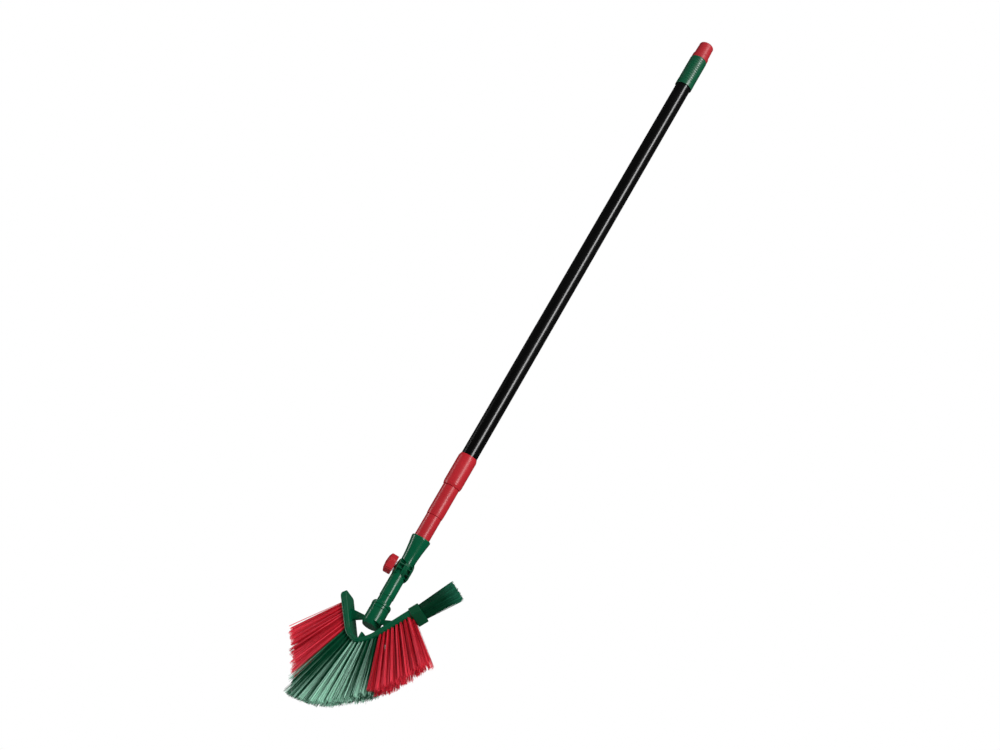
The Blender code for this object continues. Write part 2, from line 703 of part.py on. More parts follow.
def clamp_knob(look, knob_axis):
    """Make the six-sided knob with a domed face, a nut pocket and a blind bore."""
    points = [
        (0, knob_x),
        (KNOB_RADIUS - KNOB_CHAMFER, knob_x),
        (KNOB_RADIUS, knob_x - KNOB_CHAMFER),
        (KNOB_RADIUS, knob_x - KNOB_EDGE_THICKNESS),
        (KNOB_DOME_RADIUS, knob_x - KNOB_THICKNESS + KNOB_DOME_STEP),
        (0, knob_x - KNOB_THICKNESS),
    ]
    shape = spin_profile(points, HEX_SIDES)
    corners = [
        edge for edge in shape.edges
        if min(vert.co.xy.length for vert in edge.verts) > KNOB_RADIUS - 2 * KNOB_CHAMFER
        and abs(edge.verts[0].co.z - edge.verts[1].co.z) > MERGE
    ]
    bmesh.ops.bevel(
        shape, geom=corners, offset=KNOB_EDGE_BEVEL, segments=CORNER_STEPS, affect="EDGES",
    )
    turn = Matrix.Rotation(KNOB_TURN, 4, "X") @ Matrix.Rotation(math.pi / 2, 4, "Y")
    bmesh.ops.transform(shape, matrix=turn, verts=shape.verts)
    knob = finish_object("clamp_knob", shape, look, knob_axis)
    nut_end = knob_x - NUT_LENGTH - 2 * GAP
    pocket = [
        (0, knob_x + OVERRUN), (NUT_RADIUS + 2 * GAP, knob_x + OVERRUN),
        (NUT_RADIUS + 2 * GAP, nut_end), (0, nut_end),
    ]
    cutter = turned_about_bolt("nut_pocket", pocket, HEX_SIDES, None, knob_axis)
    combine(knob, cutter, "DIFFERENCE")
    bore_end = knob_x - KNOB_BORE_LENGTH
    bore = [
        (0, knob_x + OVERRUN), (BOLT_HOLE_RADIUS, knob_x + OVERRUN),
        (BOLT_HOLE_RADIUS, bore_end), (0, bore_end),
    ]
    cutter = turned_about_bolt("knob_bore", bore, SMALL_SIDES, None, knob_axis)
    combine(knob, cutter, "DIFFERENCE")
    return knob


def knob_nut(look, knob_axis):
    """Make the brass nut pressed into the knob."""
    start = knob_x - GAP
    end = start - NUT_LENGTH
    points = [(0, start), (NUT_RADIUS, start), (NUT_RADIUS, end), (0, end)]
    nut = turned_about_bolt("knob_nut", points, HEX_SIDES, look, knob_axis)
    bore = [
        (0, start + OVERRUN), (BOLT_HOLE_RADIUS, start + OVERRUN),
        (BOLT_HOLE_RADIUS, end - OVERRUN), (0, end - OVERRUN),
    ]
    cutter = turned_about_bolt("nut_bore", bore, SMALL_SIDES, None, knob_axis)
    combine(nut, cutter, "DIFFERENCE")
    return nut


def band_length_to_arm():
    """Give the length of one half of the V's curved middle."""
    return BAND_CURVE_RADIUS * (BAND_ARM_ANGLE - BAND_START_ANGLE)


def band_frame(along):
    """Give the V's outer line at a signed length from its apex.

    Returns the point (x, z), the unit tangent away from the apex and the unit
    normal towards the inside of the V.
    """
    side = 1 if along >= 0 else -1
    length = abs(along)
    curved = min(length, band_length_to_arm())
    angle = BAND_START_ANGLE + curved / BAND_CURVE_RADIUS
    x = BAND_CURVE_RADIUS * (math.sin(angle) - math.sin(BAND_START_ANGLE))
    z = BAND_CURVE_RADIUS * (math.cos(BAND_START_ANGLE) - math.cos(angle))
    straight = length - curved
    x += straight * math.cos(angle)
    z += straight * math.sin(angle)
    point = Vector((side * x, z - BAND_APEX_BELOW))
    tangent = Vector((side * math.cos(angle), math.sin(angle)))
    normal = Vector((-side * math.sin(angle), math.cos(angle)))
    return point, tangent, normal


def band_point(along, depth):
    """Give (x, z) at a depth inside the V's outer line, on the centre line at the apex."""
    point, tangent, normal = band_frame(along)
    if along == 0:
        return Vector((0, point.y + depth / math.cos(BAND_START_ANGLE)))
    return point + normal * depth


def band_thickness(along):
    """Give the band's thickness, which grows evenly from the apex to the clip."""
    share = min(abs(along) / CLIP_START, 1.0)
    return BAND_MIDDLE_THICKNESS + (BAND_THICKNESS - BAND_MIDDLE_THICKNESS) * share


def band_stations(start, end, steps):
    """Give evenly spaced lengths along the V, with the apex among them if it is inside."""
    stations = [start + (end - start) * index / steps for index in range(steps + 1)]
    if start < 0 < end:
        nearest = min(range(len(stations)), key=lambda index: abs(stations[index]))
        stations[nearest] = 0.0
    return stations


def arm_matrix(along):
    """Place a frame on the V's outer line: x along the arm, y across, z inwards."""
    point, tangent, normal = band_frame(along)
    side = 1 if along >= 0 else -1
    return Matrix((
        (tangent.x, 0, normal.x, point.x),
        (0, side, 0, 0),
        (tangent.y, 0, normal.y, point.y),
        (0, 0, 0, 1),
    ))


def band(look, head):
    """Make the V-shaped band, whose left end is a tongue past the bristles."""
    curve = band_length_to_arm()
    strip_end = -(left_strip_end + GAP)
    bend = band_stations(-curve, curve, 2 * BAND_CURVE_STEPS)
    stations = bend + [CLIP_START, CLIP_START + CLIP_POCKET - GAP]
    outer = [band_point(along, BACKING + GAP) for along in [strip_end] + stations]
    inner = [band_point(along, band_thickness(along)) for along in [-BAND_LEFT_END] + stations]
    outer = tongue_nose() + [band_point(strip_end, 0)] + outer
    outline = [(p.x, -BAND_WIDTH / 2, p.y) for p in outer + inner[::-1]]
    shape = bmesh.new()
    face = shape.faces.new([shape.verts.new(point) for point in outline])
    grown = bmesh.ops.extrude_face_region(shape, geom=[face])["geom"]
    moved = [item for item in grown if isinstance(item, bmesh.types.BMVert)]
    bmesh.ops.translate(shape, verts=moved, vec=(0, BAND_WIDTH, 0))
    rims = [
        edge for edge in shape.edges
        if abs(edge.verts[0].co.y - edge.verts[1].co.y) < MERGE
    ]
    bmesh.ops.bevel(shape, geom=rims, offset=BAND_EDGE_BEVEL, segments=1, affect="EDGES")
    piece = finish_object("head_frame", shape, look, head)
    combine(piece, tongue_cutter(head), "DIFFERENCE")
    return piece


def tongue_nose():
    """Give the rounded outer corner of the left arm's end, from its tip down."""
    nose = []
    for step in range(BAND_NOSE_STEPS + 1):
        angle = math.pi / 2 * (1 - step / BAND_NOSE_STEPS)
        along = BAND_NOSE_RADIUS * (1 - math.sin(angle)) - BAND_LEFT_END
        nose.append(band_point(along, BAND_NOSE_RADIUS * (1 - math.cos(angle))))
    return nose


def tongue_cutter(head):
    """Make the cutter that rounds the two corners of the left arm's end."""
    reach = BAND_WIDTH / 2 + OVERRUN
    end = BAND_CORNER_RADIUS + OVERRUN
    outline = [(0, reach, 0), (end, reach, 0), (end, -reach, 0), (0, -reach, 0)]
    for side in (-1, 1):
        centre = side * (BAND_WIDTH / 2 - BAND_CORNER_RADIUS)
        for step in range(BAND_CORNER_STEPS + 1):
            share = step / BAND_CORNER_STEPS
            angle = math.pi / 2 * (share if side > 0 else share - 1)
            x = BAND_CORNER_RADIUS * math.cos(angle)
            outline.append((x, centre + BAND_CORNER_RADIUS * math.sin(angle), 0))
    lift = (0, 0, BAND_THICKNESS + 2 * OVERRUN)
    place = arm_matrix(BAND_CORNER_RADIUS - BAND_LEFT_END)
    place = place @ Matrix.Translation((0, 0, -OVERRUN))
    return prism("tongue_cutter", outline, lift, None, place, head)


def socket_outline():
    """Give the head socket's (r, z) outline: chamfered bottom, grooved wall and bore."""
    outline = [
        (0, SOCKET_BOTTOM, 0),
        (SOCKET_BOTTOM_RADIUS, SOCKET_BOTTOM, 0),
        (SOCKET_RADIUS, SOCKET_WALL_FOOT, 0),
    ]
    grooves = [
        SOCKET_TOP - SOCKET_GROOVE_BELOW_TOP - SOCKET_GROOVE_PITCH,
        SOCKET_TOP - SOCKET_GROOVE_BELOW_TOP,
    ]
    for groove in grooves:
        floor = SOCKET_RADIUS - SOCKET_GROOVE_DEPTH
        above = SOCKET_RADIUS if groove == grooves[0] else SOCKET_RIM_RADIUS
        outline.append((SOCKET_RADIUS, groove - SOCKET_GROOVE_WIDTH / 2, 0))
        outline.append((floor, groove, 0))
        outline.append((above, groove + SOCKET_GROOVE_WIDTH / 2, 0))
    outline += [
        (SOCKET_RIM_RADIUS, SOCKET_TOP, SOCKET_RIM_FILLET),
        (SOCKET_BORE_RADIUS, SOCKET_TOP, 0),
        (SOCKET_BORE_RADIUS, socket_bore_floor, 0),
        (0, socket_bore_floor, 0),
    ]
    return rounded(outline)


def web(look, head):
    """Make the web from arm to arm through the socket's foot, as a guide to be joined."""
    socket_side = SOCKET_RADIUS + WEB_REACH
    arm_top = band_inside_x(WEB_ARM_TOP)
    arm_foot = band_inside_x(WEB_ARM_FOOT)
    right = [
        (socket_side, WEB_SOCKET_FOOT),
        (arm_foot, WEB_ARM_FOOT),
        (arm_top, WEB_ARM_TOP),
        (socket_side, WEB_SOCKET_TOP),
    ]
    left = [(-x, z) for x, z in right[::-1]]
    outline = [(x, 0, z) for x, z in right + left]
    place = Matrix.Translation((0, -WEB_THICKNESS / 2, 0))
    return prism("head_web", outline, (0, WEB_THICKNESS, 0), look, place, head)


def band_inside_x(height):
    """Give the half-width of the V, midway through its arms, at a height of its frame."""
    point, tangent, normal = band_frame(band_length_to_arm())
    middle = point + normal * (BAND_THICKNESS / 2)
    return middle.x + (height - middle.y) * tangent.x / tangent.y


def apex_rib(look, head):
    """Make the rib that stands across the inside of the V's apex, as a guide to be joined."""
    floor = band_point(0, BAND_MIDDLE_THICKNESS / 2).y
    top = band_point(0, BAND_MIDDLE_THICKNESS).y + RIB_HEIGHT
    low = (-RIB_THICKNESS / 2, -RIB_LENGTH / 2, floor)
    high = (RIB_THICKNESS / 2, RIB_LENGTH / 2, top)
    return block("apex_rib", low, high, look, Matrix.Identity(4), head)


def head_frame(look, head):
    """Make the head's moulding: band, socket, web and apex rib in one piece."""
    frame = band(look, head)
    socket = turned("head_socket", socket_outline(), LARGE_SIDES, look, head)
    reach = SOCKET_RADIUS + OVERRUN
    low = (SOCKET_NOTCH_X, -reach, SOCKET_BOTTOM - OVERRUN)
    high = (reach, reach, SOCKET_NOTCH_TOP)
    notch = block("socket_notch", low, high, None, Matrix.Identity(4), head)
    combine(socket, notch, "DIFFERENCE")
    combine(frame, web(look, head), "UNION")
    combine(frame, apex_rib(look, head), "UNION")
    combine(frame, socket, "UNION")
    floor = socket_bore_floor
    top = SOCKET_TOP + OVERRUN
    bore = [(0, floor), (SOCKET_BORE_RADIUS, floor), (SOCKET_BORE_RADIUS, top), (0, top)]
    combine(frame, turned("socket_bore", bore, LARGE_SIDES, None, head), "DIFFERENCE")
    return frame


def grow_strands(shape, cells, direction_at, length_at):
    """Draw each cell in to a three-sided root and extrude it into a bristle strand."""
    bmesh.ops.inset_individual(shape, faces=cells, thickness=STRAND_INSET, use_even_offset=True)
    for cell in cells:
        root = cell.calc_center_median()
        grown = bmesh.ops.extrude_discrete_faces(shape, faces=[cell])["faces"][0]
        step = direction_at(root) * length_at(root)
        bmesh.ops.translate(shape, verts=grown.verts[:], vec=step)
        tip = grown.calc_center_median()
        for vert in grown.verts:
            vert.co = tip + (vert.co - tip) * STRAND_TIP_SHARE


def backed_cells(shape, outer, inner):
    """Build a slice of backing from two grids of points; give its triangular outer cells.

    outer is a list of rows of points; inner holds the two end points of each row.
    """
    grid = [[shape.verts.new(point) for point in row] for row in outer]
    back = [[shape.verts.new(point) for point in row] for row in inner]
    cells = []
    for index in range(len(grid) - 1):
        for column in range(len(grid[0]) - 1):
            a = grid[index][column]
            b = grid[index][column + 1]
            c = grid[index + 1][column + 1]
            d = grid[index + 1][column]
            if (index + column) % 2:
                cells += [shape.faces.new((a, b, c)), shape.faces.new((a, c, d))]
            else:
                cells += [shape.faces.new((a, b, d)), shape.faces.new((b, c, d))]
        shape.faces.new((back[index][1], back[index][0], back[index + 1][0], back[index + 1][1]))
        shape.faces.new((grid[index][0], grid[index + 1][0], back[index + 1][0], back[index][0]))
        shape.faces.new((
            grid[index + 1][-1], grid[index][-1], back[index][1], back[index + 1][1],
        ))
    shape.faces.new(grid[0][::-1] + [back[0][0], back[0][1]])
    shape.faces.new(grid[-1] + [back[-1][1], back[-1][0]])
    bmesh.ops.recalc_face_normals(shape, faces=shape.faces)
    return cells


def fan_direction(root):
    """Give a strand's direction: it fans out with its distance from the middle."""
    sideways = root.x / FAN_RADIUS
    across = root.y / SIDE_FAN_RADIUS
    return Vector((math.sin(sideways), across, -math.cos(sideways))).normalized()


def fan_length(root):
    """Give a strand's length: the trim is longest left of the apex and at the front."""
    place = root.x / TRIM_REACH
    spans = list(zip(TRIM_PLACE_SHARES, TRIM_LENGTH_SHARES))
    share = spans[0][1] if place < spans[0][0] else spans[-1][1]
    for (start, from_share), (end, to_share) in zip(spans, spans[1:]):
        if start <= place < end:
            share = from_share + (to_share - from_share) * (place - start) / (end - start)
    return BRISTLE_LENGTH * share - TRIM_SLANT_SHARE * root.y


def bristle_strip(name, start, end, cells, look, head):
    """Make one coloured strip: a slice of the band's outer face with its strands."""
    stations = band_stations(start, end, cells)
    across = [BAND_WIDTH * (row / STRIP_ROWS - 0.5) for row in range(STRIP_ROWS + 1)]
    outer = []
    inner = []
    for along in stations:
        face = band_point(along, 0)
        back = band_point(along, BACKING)
        outer.append([(face.x, y, face.y) for y in across])
        inner.append([(back.x, y, back.y) for y in (across[0], across[-1])])
    shape = bmesh.new()
    roots = backed_cells(shape, outer, inner)
    grow_strands(shape, roots, fan_direction, fan_length)
    return finish_object(name, shape, look, head)


def brush_clip(look, head):
    """Make the clip: a block with a pocket for the arm and a recess for the end brush."""
    place = arm_matrix(CLIP_START)
    side = BAND_WIDTH / 2 + CLIP_SIDE_WALL
    low = (0, -side, -CLIP_OUTER_WALL)
    high = (CLIP_LENGTH, side, BAND_THICKNESS + CLIP_INNER_WALL)
    clip = block("brush_clip", low, high, look, place, head, CLIP_BEVEL)
    reach = BAND_WIDTH / 2 + GAP
    low = (-OVERRUN, -reach, BACKING)
    high = (CLIP_POCKET, reach, BAND_THICKNESS + GAP)
    combine(clip, block("clip_pocket", low, high, None, place, head), "DIFFERENCE")
    reach = BAND_WIDTH / 2 - BRUSH_SIDE_INSET + GAP
    low = (CLIP_LENGTH - BACKING - GAP, -reach, 0)
    high = (CLIP_LENGTH + OVERRUN, reach, BAND_THICKNESS)
    combine(clip, block("clip_recess", low, high, None, place, head), "DIFFERENCE")
    return clip


def end_brush(look, head):
    """Make the end brush: a slice seated in the clip, with strands along the arm."""
    reach = BAND_WIDTH / 2 - BRUSH_SIDE_INSET
    face = CLIP_LENGTH
    back = CLIP_LENGTH - BACKING
    low = GAP
    high = BAND_THICKNESS - GAP
    centre = (low + high) / 2
    heights = [low + (high - low) * row / BRUSH_ROWS for row in range(BRUSH_ROWS + 1)]
    across = [reach * (2 * column / BRUSH_COLUMNS - 1) for column in range(BRUSH_COLUMNS + 1)]
    outer = [[(face, y, z) for y in across] for z in heights]
    inner = [[(back, y, z) for y in (across[0], across[-1])] for z in heights]
    shape = bmesh.new()
    roots = backed_cells(shape, outer, inner)

    def direction(root):
        """Spread the strands a little away from the brush's centre line."""
        lean = Vector((BRUSH_FAN_RADIUS, root.y / 2, root.z - centre))
        return lean.normalized()

    grow_strands(shape, roots, direction, lambda root: BRUSH_LENGTH)
    bmesh.ops.transform(shape, matrix=arm_matrix(CLIP_START), verts=shape.verts)
    return finish_object("end_brush", shape, look, head)


def pole(looks):
    """Make the telescopic pole."""
    outer_bore = OUTER_RADIUS - TUBE_WALL
    middle_bore = MIDDLE_RADIUS - TUBE_WALL
    end_cap(looks["red"])
    grip(looks["green"])
    tube("outer_tube", OUTER_RADIUS, cap_foot_z, outer_tube_foot_z, looks["black"])
    collar(
        "upper_collar", UPPER_COLLAR_RADIUS, OUTER_RADIUS, MIDDLE_RADIUS,
        upper_collar_top_z, upper_collar_foot_z,
        (UPPER_COLLAR_SHOULDER_LENGTH, UPPER_COLLAR_SHOULDER_DEPTH),
        (UPPER_COLLAR_DRAW_LENGTH, UPPER_COLLAR_DRAW_DEPTH), looks["red"],
    )
    lock_sleeve("upper_lock_sleeve", middle_tube_top_z, outer_bore, looks["grey"])
    lock_cone("upper_lock_cone", MIDDLE_RADIUS, middle_tube_top_z, outer_bore, looks["grey"])
    tube("middle_tube", MIDDLE_RADIUS, middle_tube_top_z, middle_tube_foot_z, looks["black"])
    collar(
        "lower_collar", LOWER_COLLAR_RADIUS, MIDDLE_RADIUS, INNER_RADIUS,
        lower_collar_top_z, lower_collar_foot_z,
        (LOWER_COLLAR_SHOULDER_LENGTH, LOWER_COLLAR_SHOULDER_DEPTH),
        (LOWER_COLLAR_DRAW_LENGTH, LOWER_COLLAR_DRAW_DEPTH), looks["red"],
    )
    lock_sleeve("lower_lock_sleeve", inner_tube_top_z, middle_bore, looks["grey"])
    lock_cone("lower_lock_cone", INNER_RADIUS, inner_tube_top_z, middle_bore, looks["grey"])
    tube("inner_tube", INNER_RADIUS, inner_tube_top_z, inner_tube_foot_z, looks["black"])
    pole_tip(looks["red"])


def joint(looks, bolt, tilt, knob_axis):
    """Make the tilting joint and its clamp."""
    joint_fork(looks["green"], bolt)
    clamp_bolt(looks["steel"], bolt)
    joint_arm(looks["green"], tilt)
    clamp_washer(looks["steel"], knob_axis)
    clamp_knob(looks["red"], knob_axis)
    knob_nut(looks["brass"], knob_axis)


def broom_head(looks, head):
    """Make the head: frame, three bristle strips, clip and end brush."""
    head_frame(looks["green"], head)
    bristle_strip(
        "left_bristles", -left_strip_end, -LEFT_SPLIT - GAP, SIDE_STRIP_CELLS,
        looks["red_bristle"], head,
    )
    bristle_strip(
        "middle_bristles", -LEFT_SPLIT, RIGHT_SPLIT, MIDDLE_STRIP_CELLS,
        looks["green_bristle"], head,
    )
    bristle_strip(
        "right_bristles", RIGHT_SPLIT + GAP, CLIP_START - GAP, SIDE_STRIP_CELLS,
        looks["red_bristle"], head,
    )
    brush_clip(looks["green"], head)
    end_brush(looks["dark_bristle"], head)


def build():
    """Model the whole broom."""
    clear_scene()
    looks = {
        "red": material("red_plastic", (0.45, 0.02, 0.03), 0.35),
        "green": material("green_plastic", (0.0, 0.09, 0.04), 0.35),
        "black": material("black_paint", (0.01, 0.01, 0.012), 0.2),
        "grey": material("grey_plastic", (0.25, 0.25, 0.25), 0.5),
        "steel": material("zinc_steel", (0.6, 0.6, 0.6), 0.3, 1.0),
        "brass": material("brass", (0.7, 0.5, 0.2), 0.3, 1.0),
        "red_bristle": material("red_bristle", (0.5, 0.03, 0.06), 0.4),
        "green_bristle": material("pale_green_bristle", (0.15, 0.4, 0.28), 0.4),
        "dark_bristle": material("dark_green_bristle", (0.0, 0.12, 0.07), 0.4),
    }
    pole(looks)
    bolt = empty("bolt_axis", Matrix.Translation((0, 0, bolt_z)))
    knob_axis = empty("knob_axis", Matrix.Identity(4), bolt)
    tilt = empty("tilt_axis", Matrix.Rotation(-ARM_BEND, 4, "X"), bolt)
    joint(looks, bolt, tilt, knob_axis)
    socket_place = Matrix.Translation((-ARM_SHIFT, 0, -HEAD_BELOW_BOLT))
    head = empty("head_axis", socket_place @ Matrix.Rotation(HEAD_TURN, 4, "Z"), tilt)
    broom_head(looks, head)


build()
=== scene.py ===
# %% [markdown]
# # An angle broom on a telescopic pole
#
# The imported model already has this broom's sizes, pieces and joints. This lesson gives it
# its looks: turned edges, moulded plastic, coated tubes and thousands of bristles. Each
# step says what the piece is on the real broom, how it could be made, and why this way
# was chosen.

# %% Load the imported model
import json
import math

import bmesh
import bpy
import numpy as np
from mathutils import Matrix, Vector


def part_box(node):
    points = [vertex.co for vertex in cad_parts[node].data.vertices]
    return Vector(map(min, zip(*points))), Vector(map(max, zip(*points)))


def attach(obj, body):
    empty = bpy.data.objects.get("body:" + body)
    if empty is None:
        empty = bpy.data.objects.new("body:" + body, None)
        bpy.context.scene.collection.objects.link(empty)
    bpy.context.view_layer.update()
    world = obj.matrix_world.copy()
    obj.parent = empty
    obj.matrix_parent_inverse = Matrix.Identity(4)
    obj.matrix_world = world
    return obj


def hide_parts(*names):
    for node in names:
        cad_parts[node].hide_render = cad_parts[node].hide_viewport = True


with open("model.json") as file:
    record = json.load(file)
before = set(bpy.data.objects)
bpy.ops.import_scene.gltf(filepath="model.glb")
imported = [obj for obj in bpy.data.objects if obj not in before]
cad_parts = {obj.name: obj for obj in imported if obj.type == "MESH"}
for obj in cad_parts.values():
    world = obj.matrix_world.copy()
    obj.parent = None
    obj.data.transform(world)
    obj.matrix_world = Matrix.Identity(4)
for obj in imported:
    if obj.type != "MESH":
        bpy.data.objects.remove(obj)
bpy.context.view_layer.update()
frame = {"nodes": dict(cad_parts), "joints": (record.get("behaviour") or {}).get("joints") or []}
print("CAD nodes:", len(frame["nodes"]))

# %% [markdown]
# ## From arrays to a mesh
#
# A surface here is a grid of points that numpy works out in one go. The grid is joined by
# four-cornered faces. Where a grid closes in a pole, a face has two corners in the same
# place, and one of them is dropped. A closed surface has a positive volume when its faces
# look outwards, so the sign of the volume shows whether they have to be turned round.

# %% Units and the sign of a volume
mm = 0.001
degree = math.pi / 180
SHARP_ANGLE = 35 * degree
print("edges are sharp from", round(SHARP_ANGLE / degree), "degrees")


def signed_volume(points, quads):
    """Sum a . (b x c) over both triangles of every face: six times the enclosed volume."""
    a, b, c, d = (points[quads[:, corner]] for corner in range(4))
    return np.sum(a * np.cross(b, c)) + np.sum(a * np.cross(c, d))


# %% From points and faces to an object
def piece(name, points, quads, finish):
    """Make an object from arrays of points and four-cornered faces, faces outwards.

    A corner equal to the one before it is left out, which makes a triangle at a pole.
    """
    used, places = np.unique(quads, return_inverse=True)
    points = points[used]
    quads = places.reshape(quads.shape)
    if signed_volume(points, quads) < 0:
        quads = quads[:, ::-1]
    kept = quads != np.roll(quads, 1, axis=1)
    whole = kept.all(axis=1)
    faces = quads[whole].tolist()
    faces += [row[mask].tolist() for row, mask in zip(quads[~whole], kept[~whole])]
    mesh = bpy.data.meshes.new(name)
    mesh.from_pydata(points.tolist(), [], faces)
    mesh.shade_smooth()
    mesh.set_sharp_from_angle(angle=SHARP_ANGLE)
    mesh.materials.append(finish)
    item = bpy.data.objects.new(name, mesh)
    bpy.context.scene.collection.objects.link(item)
    print(name, "faces:", len(faces))
    return item


# %% Faces of a grid
def grid_faces(rows, sides, capped):
    """Join a grid of rows x sides points, which wraps round along its sides.

    A capped grid ends in a point at its first and last row. Any other grid also wraps
    from its last row to its first.
    """
    index = np.arange(rows * sides).reshape(rows, sides)
    if capped:
        index[0] = index[0, 0]
        index[-1] = index[-1, 0]
        here, ahead = index[:-1], index[1:]
    else:
        here, ahead = index, np.roll(index, -1, axis=0)
    corners = [here, np.roll(here, -1, axis=1), np.roll(ahead, -1, axis=1), ahead]
    return np.stack(corners, axis=-1).reshape(-1, 4)


print("faces of a closed grid of 3 x 8 points:", len(grid_faces(3, 8, False)))

# %% [markdown]
# ## Moulded plastic
#
# Most of the broom is injection-moulded plastic. Its colour is nearly even, its gloss
# changes a little from place to place and the mould leaves a fine grain. An image could
# hold all this, but it would need an unwrapped mesh. Noise needs none. It reads the piece's
# own coordinates here, so it stays put when the broom moves.

# %% Start a finish
def new_finish(name):
    """Start a material and give its tree, its shader and the piece's own coordinates."""
    finish = bpy.data.materials.new(name)
    finish.use_nodes = True
    tree = finish.node_tree
    shader = tree.nodes["Principled BSDF"]
    place = tree.nodes.new("ShaderNodeTexCoord").outputs["Object"]
    return finish, tree, shader, place


# %% Noise, ranges and colour
def noise(tree, place, scale, detail=3.0, stretch=None):
    """Add noise, with the coordinates squeezed along an axis if stretch is given."""
    if stretch:
        mapping = tree.nodes.new("ShaderNodeMapping")
        mapping.inputs["Scale"].default_value = stretch
        tree.links.new(place, mapping.inputs["Vector"])
        place = mapping.outputs["Vector"]
    node = tree.nodes.new("ShaderNodeTexNoise")
    node.inputs["Scale"].default_value = scale
    node.inputs["Detail"].default_value = detail
    tree.links.new(place, node.inputs["Vector"])
    return node.outputs["Fac"]


def ranged(tree, value, low, high, from_low=0.3, from_high=0.7):
    """Stretch a value from one range to another. Most noise lies between 0.3 and 0.7."""
    node = tree.nodes.new("ShaderNodeMapRange")
    node.inputs["From Min"].default_value = from_low
    node.inputs["From Max"].default_value = from_high
    node.inputs["To Min"].default_value = low
    node.inputs["To Max"].default_value = high
    tree.links.new(value, node.inputs["Value"])
    return node.outputs["Result"]


def scaled_colour(tree, colour, factor):
    """Multiply a colour, plain or from a socket, by a factor."""
    node = tree.nodes.new("ShaderNodeVectorMath")
    node.operation = "SCALE"
    if isinstance(colour, tuple):
        node.inputs[0].default_value = colour
    else:
        tree.links.new(colour, node.inputs[0])
    tree.links.new(factor, node.inputs["Scale"])
    return node.outputs["Vector"]


# %% Moulded plastic
PLASTIC_CLOUD_SCALE = 28.0
PLASTIC_CLOUD = (0.93, 1.07)
PLASTIC_GLOSS_SCALE = 90.0
PLASTIC_GLOSS_BELOW = 0.04
PLASTIC_GLOSS_ABOVE = 0.05
PLASTIC_GRAIN_SCALE = 900.0
PLASTIC_GRAIN_DEPTH = 0.002 * mm
GRAIN_STRENGTH = 0.5
GRAIN_DETAIL = 2.0


def add_grain(tree, shader, place, scale, depth):
    """Raise and sink the surface by a fine noise."""
    bump = tree.nodes.new("ShaderNodeBump")
    bump.inputs["Strength"].default_value = GRAIN_STRENGTH
    bump.inputs["Distance"].default_value = depth
    tree.links.new(noise(tree, place, scale, GRAIN_DETAIL), bump.inputs["Height"])
    tree.links.new(bump.outputs["Normal"], shader.inputs["Normal"])


def moulded(name, colour, roughness, specular=0.5):
    """Make a moulded plastic: even colour, slightly uneven gloss and a fine grain."""
    finish, tree, shader, place = new_finish(name)
    cloud = ranged(tree, noise(tree, place, PLASTIC_CLOUD_SCALE), *PLASTIC_CLOUD)
    tree.links.new(scaled_colour(tree, colour, cloud), shader.inputs["Base Color"])
    low = roughness - PLASTIC_GLOSS_BELOW
    high = roughness + PLASTIC_GLOSS_ABOVE
    gloss = ranged(tree, noise(tree, place, PLASTIC_GLOSS_SCALE), low, high)
    tree.links.new(gloss, shader.inputs["Roughness"])
    shader.inputs["Specular IOR Level"].default_value = specular
    add_grain(tree, shader, place, PLASTIC_GRAIN_SCALE, PLASTIC_GRAIN_DEPTH)
    return finish


# Each plastic has its colour, its roughness and, where it isn't the usual 0.5, how strongly
# it mirrors. The grip and the cap are less glossy than the joint, and the clip mirrors least.
green_plastic = moulded("moulded_green", (0.0002, 0.0960, 0.0400), roughness=0.22)
soft_green = moulded("soft_green", (0.0002, 0.0860, 0.0360), roughness=0.34, specular=0.9)
clip_green = moulded("clip_green", (0.0002, 0.0720, 0.0270), roughness=0.34, specular=0.25)
red_plastic = moulded("moulded_red", (0.4900, 0.0130, 0.0220), roughness=0.33)
soft_red = moulded("soft_red", (0.3900, 0.0110, 0.0190), roughness=0.44, specular=0.6)
grey_plastic = moulded("moulded_grey", (0.2500, 0.2500, 0.2500), roughness=0.50)
print("greens:", green_plastic.name, soft_green.name, clip_green.name)
print("reds and grey:", red_plastic.name, soft_red.name, grey_plastic.name)

# %% [markdown]
# ## Coated tubes and plated metal
#
# The tubes are thin steel with a gloss black coating. The collars rub it as the tubes
# slide, so it wears along the tube and hardly across it. The coordinates are scaled down
# along the tube before the noise reads them, which draws its spots out into streaks. The
# bolt, the washer and the nut are bare metal with a cloudy gloss.

# %% Black coating
COATING_WEAR_SCALE = 40.0
COATING_WEAR_STRETCH = (1.0, 1.0, 0.08)
COATING_GREYS = (0.0015, 0.0035)
COATING_STREAK_SCALE = 260.0
COATING_STREAK_STRETCH = (1.0, 1.0, 0.03)
COATING_ROUGHNESS = (0.20, 0.27)
COATING_DETAIL = 4.0
COATING_GRAIN_SCALE = 420.0
COATING_GRAIN_DEPTH = 0.0006 * mm


def coated_steel():
    """Make the tubes' gloss black coating, with faint wear drawn out along the tube."""
    finish, tree, shader, place = new_finish("black_coating")
    wear = noise(tree, place, COATING_WEAR_SCALE, COATING_DETAIL, COATING_WEAR_STRETCH)
    cloud = ranged(tree, wear, *COATING_GREYS)
    grey = tree.nodes.new("ShaderNodeCombineColor")
    for channel in ("Red", "Green", "Blue"):
        tree.links.new(cloud, grey.inputs[channel])
    tree.links.new(grey.outputs["Color"], shader.inputs["Base Color"])
    streaks = noise(tree, place, COATING_STREAK_SCALE, COATING_DETAIL, COATING_STREAK_STRETCH)
    tree.links.new(ranged(tree, streaks, *COATING_ROUGHNESS), shader.inputs["Roughness"])
    shader.inputs["Coat Weight"].default_value = 0.3
    shader.inputs["Coat Roughness"].default_value = 0.08
    add_grain(tree, shader, place, COATING_GRAIN_SCALE, COATING_GRAIN_DEPTH)
    return finish


black_coating = coated_steel()
print("coating:", black_coating.name)

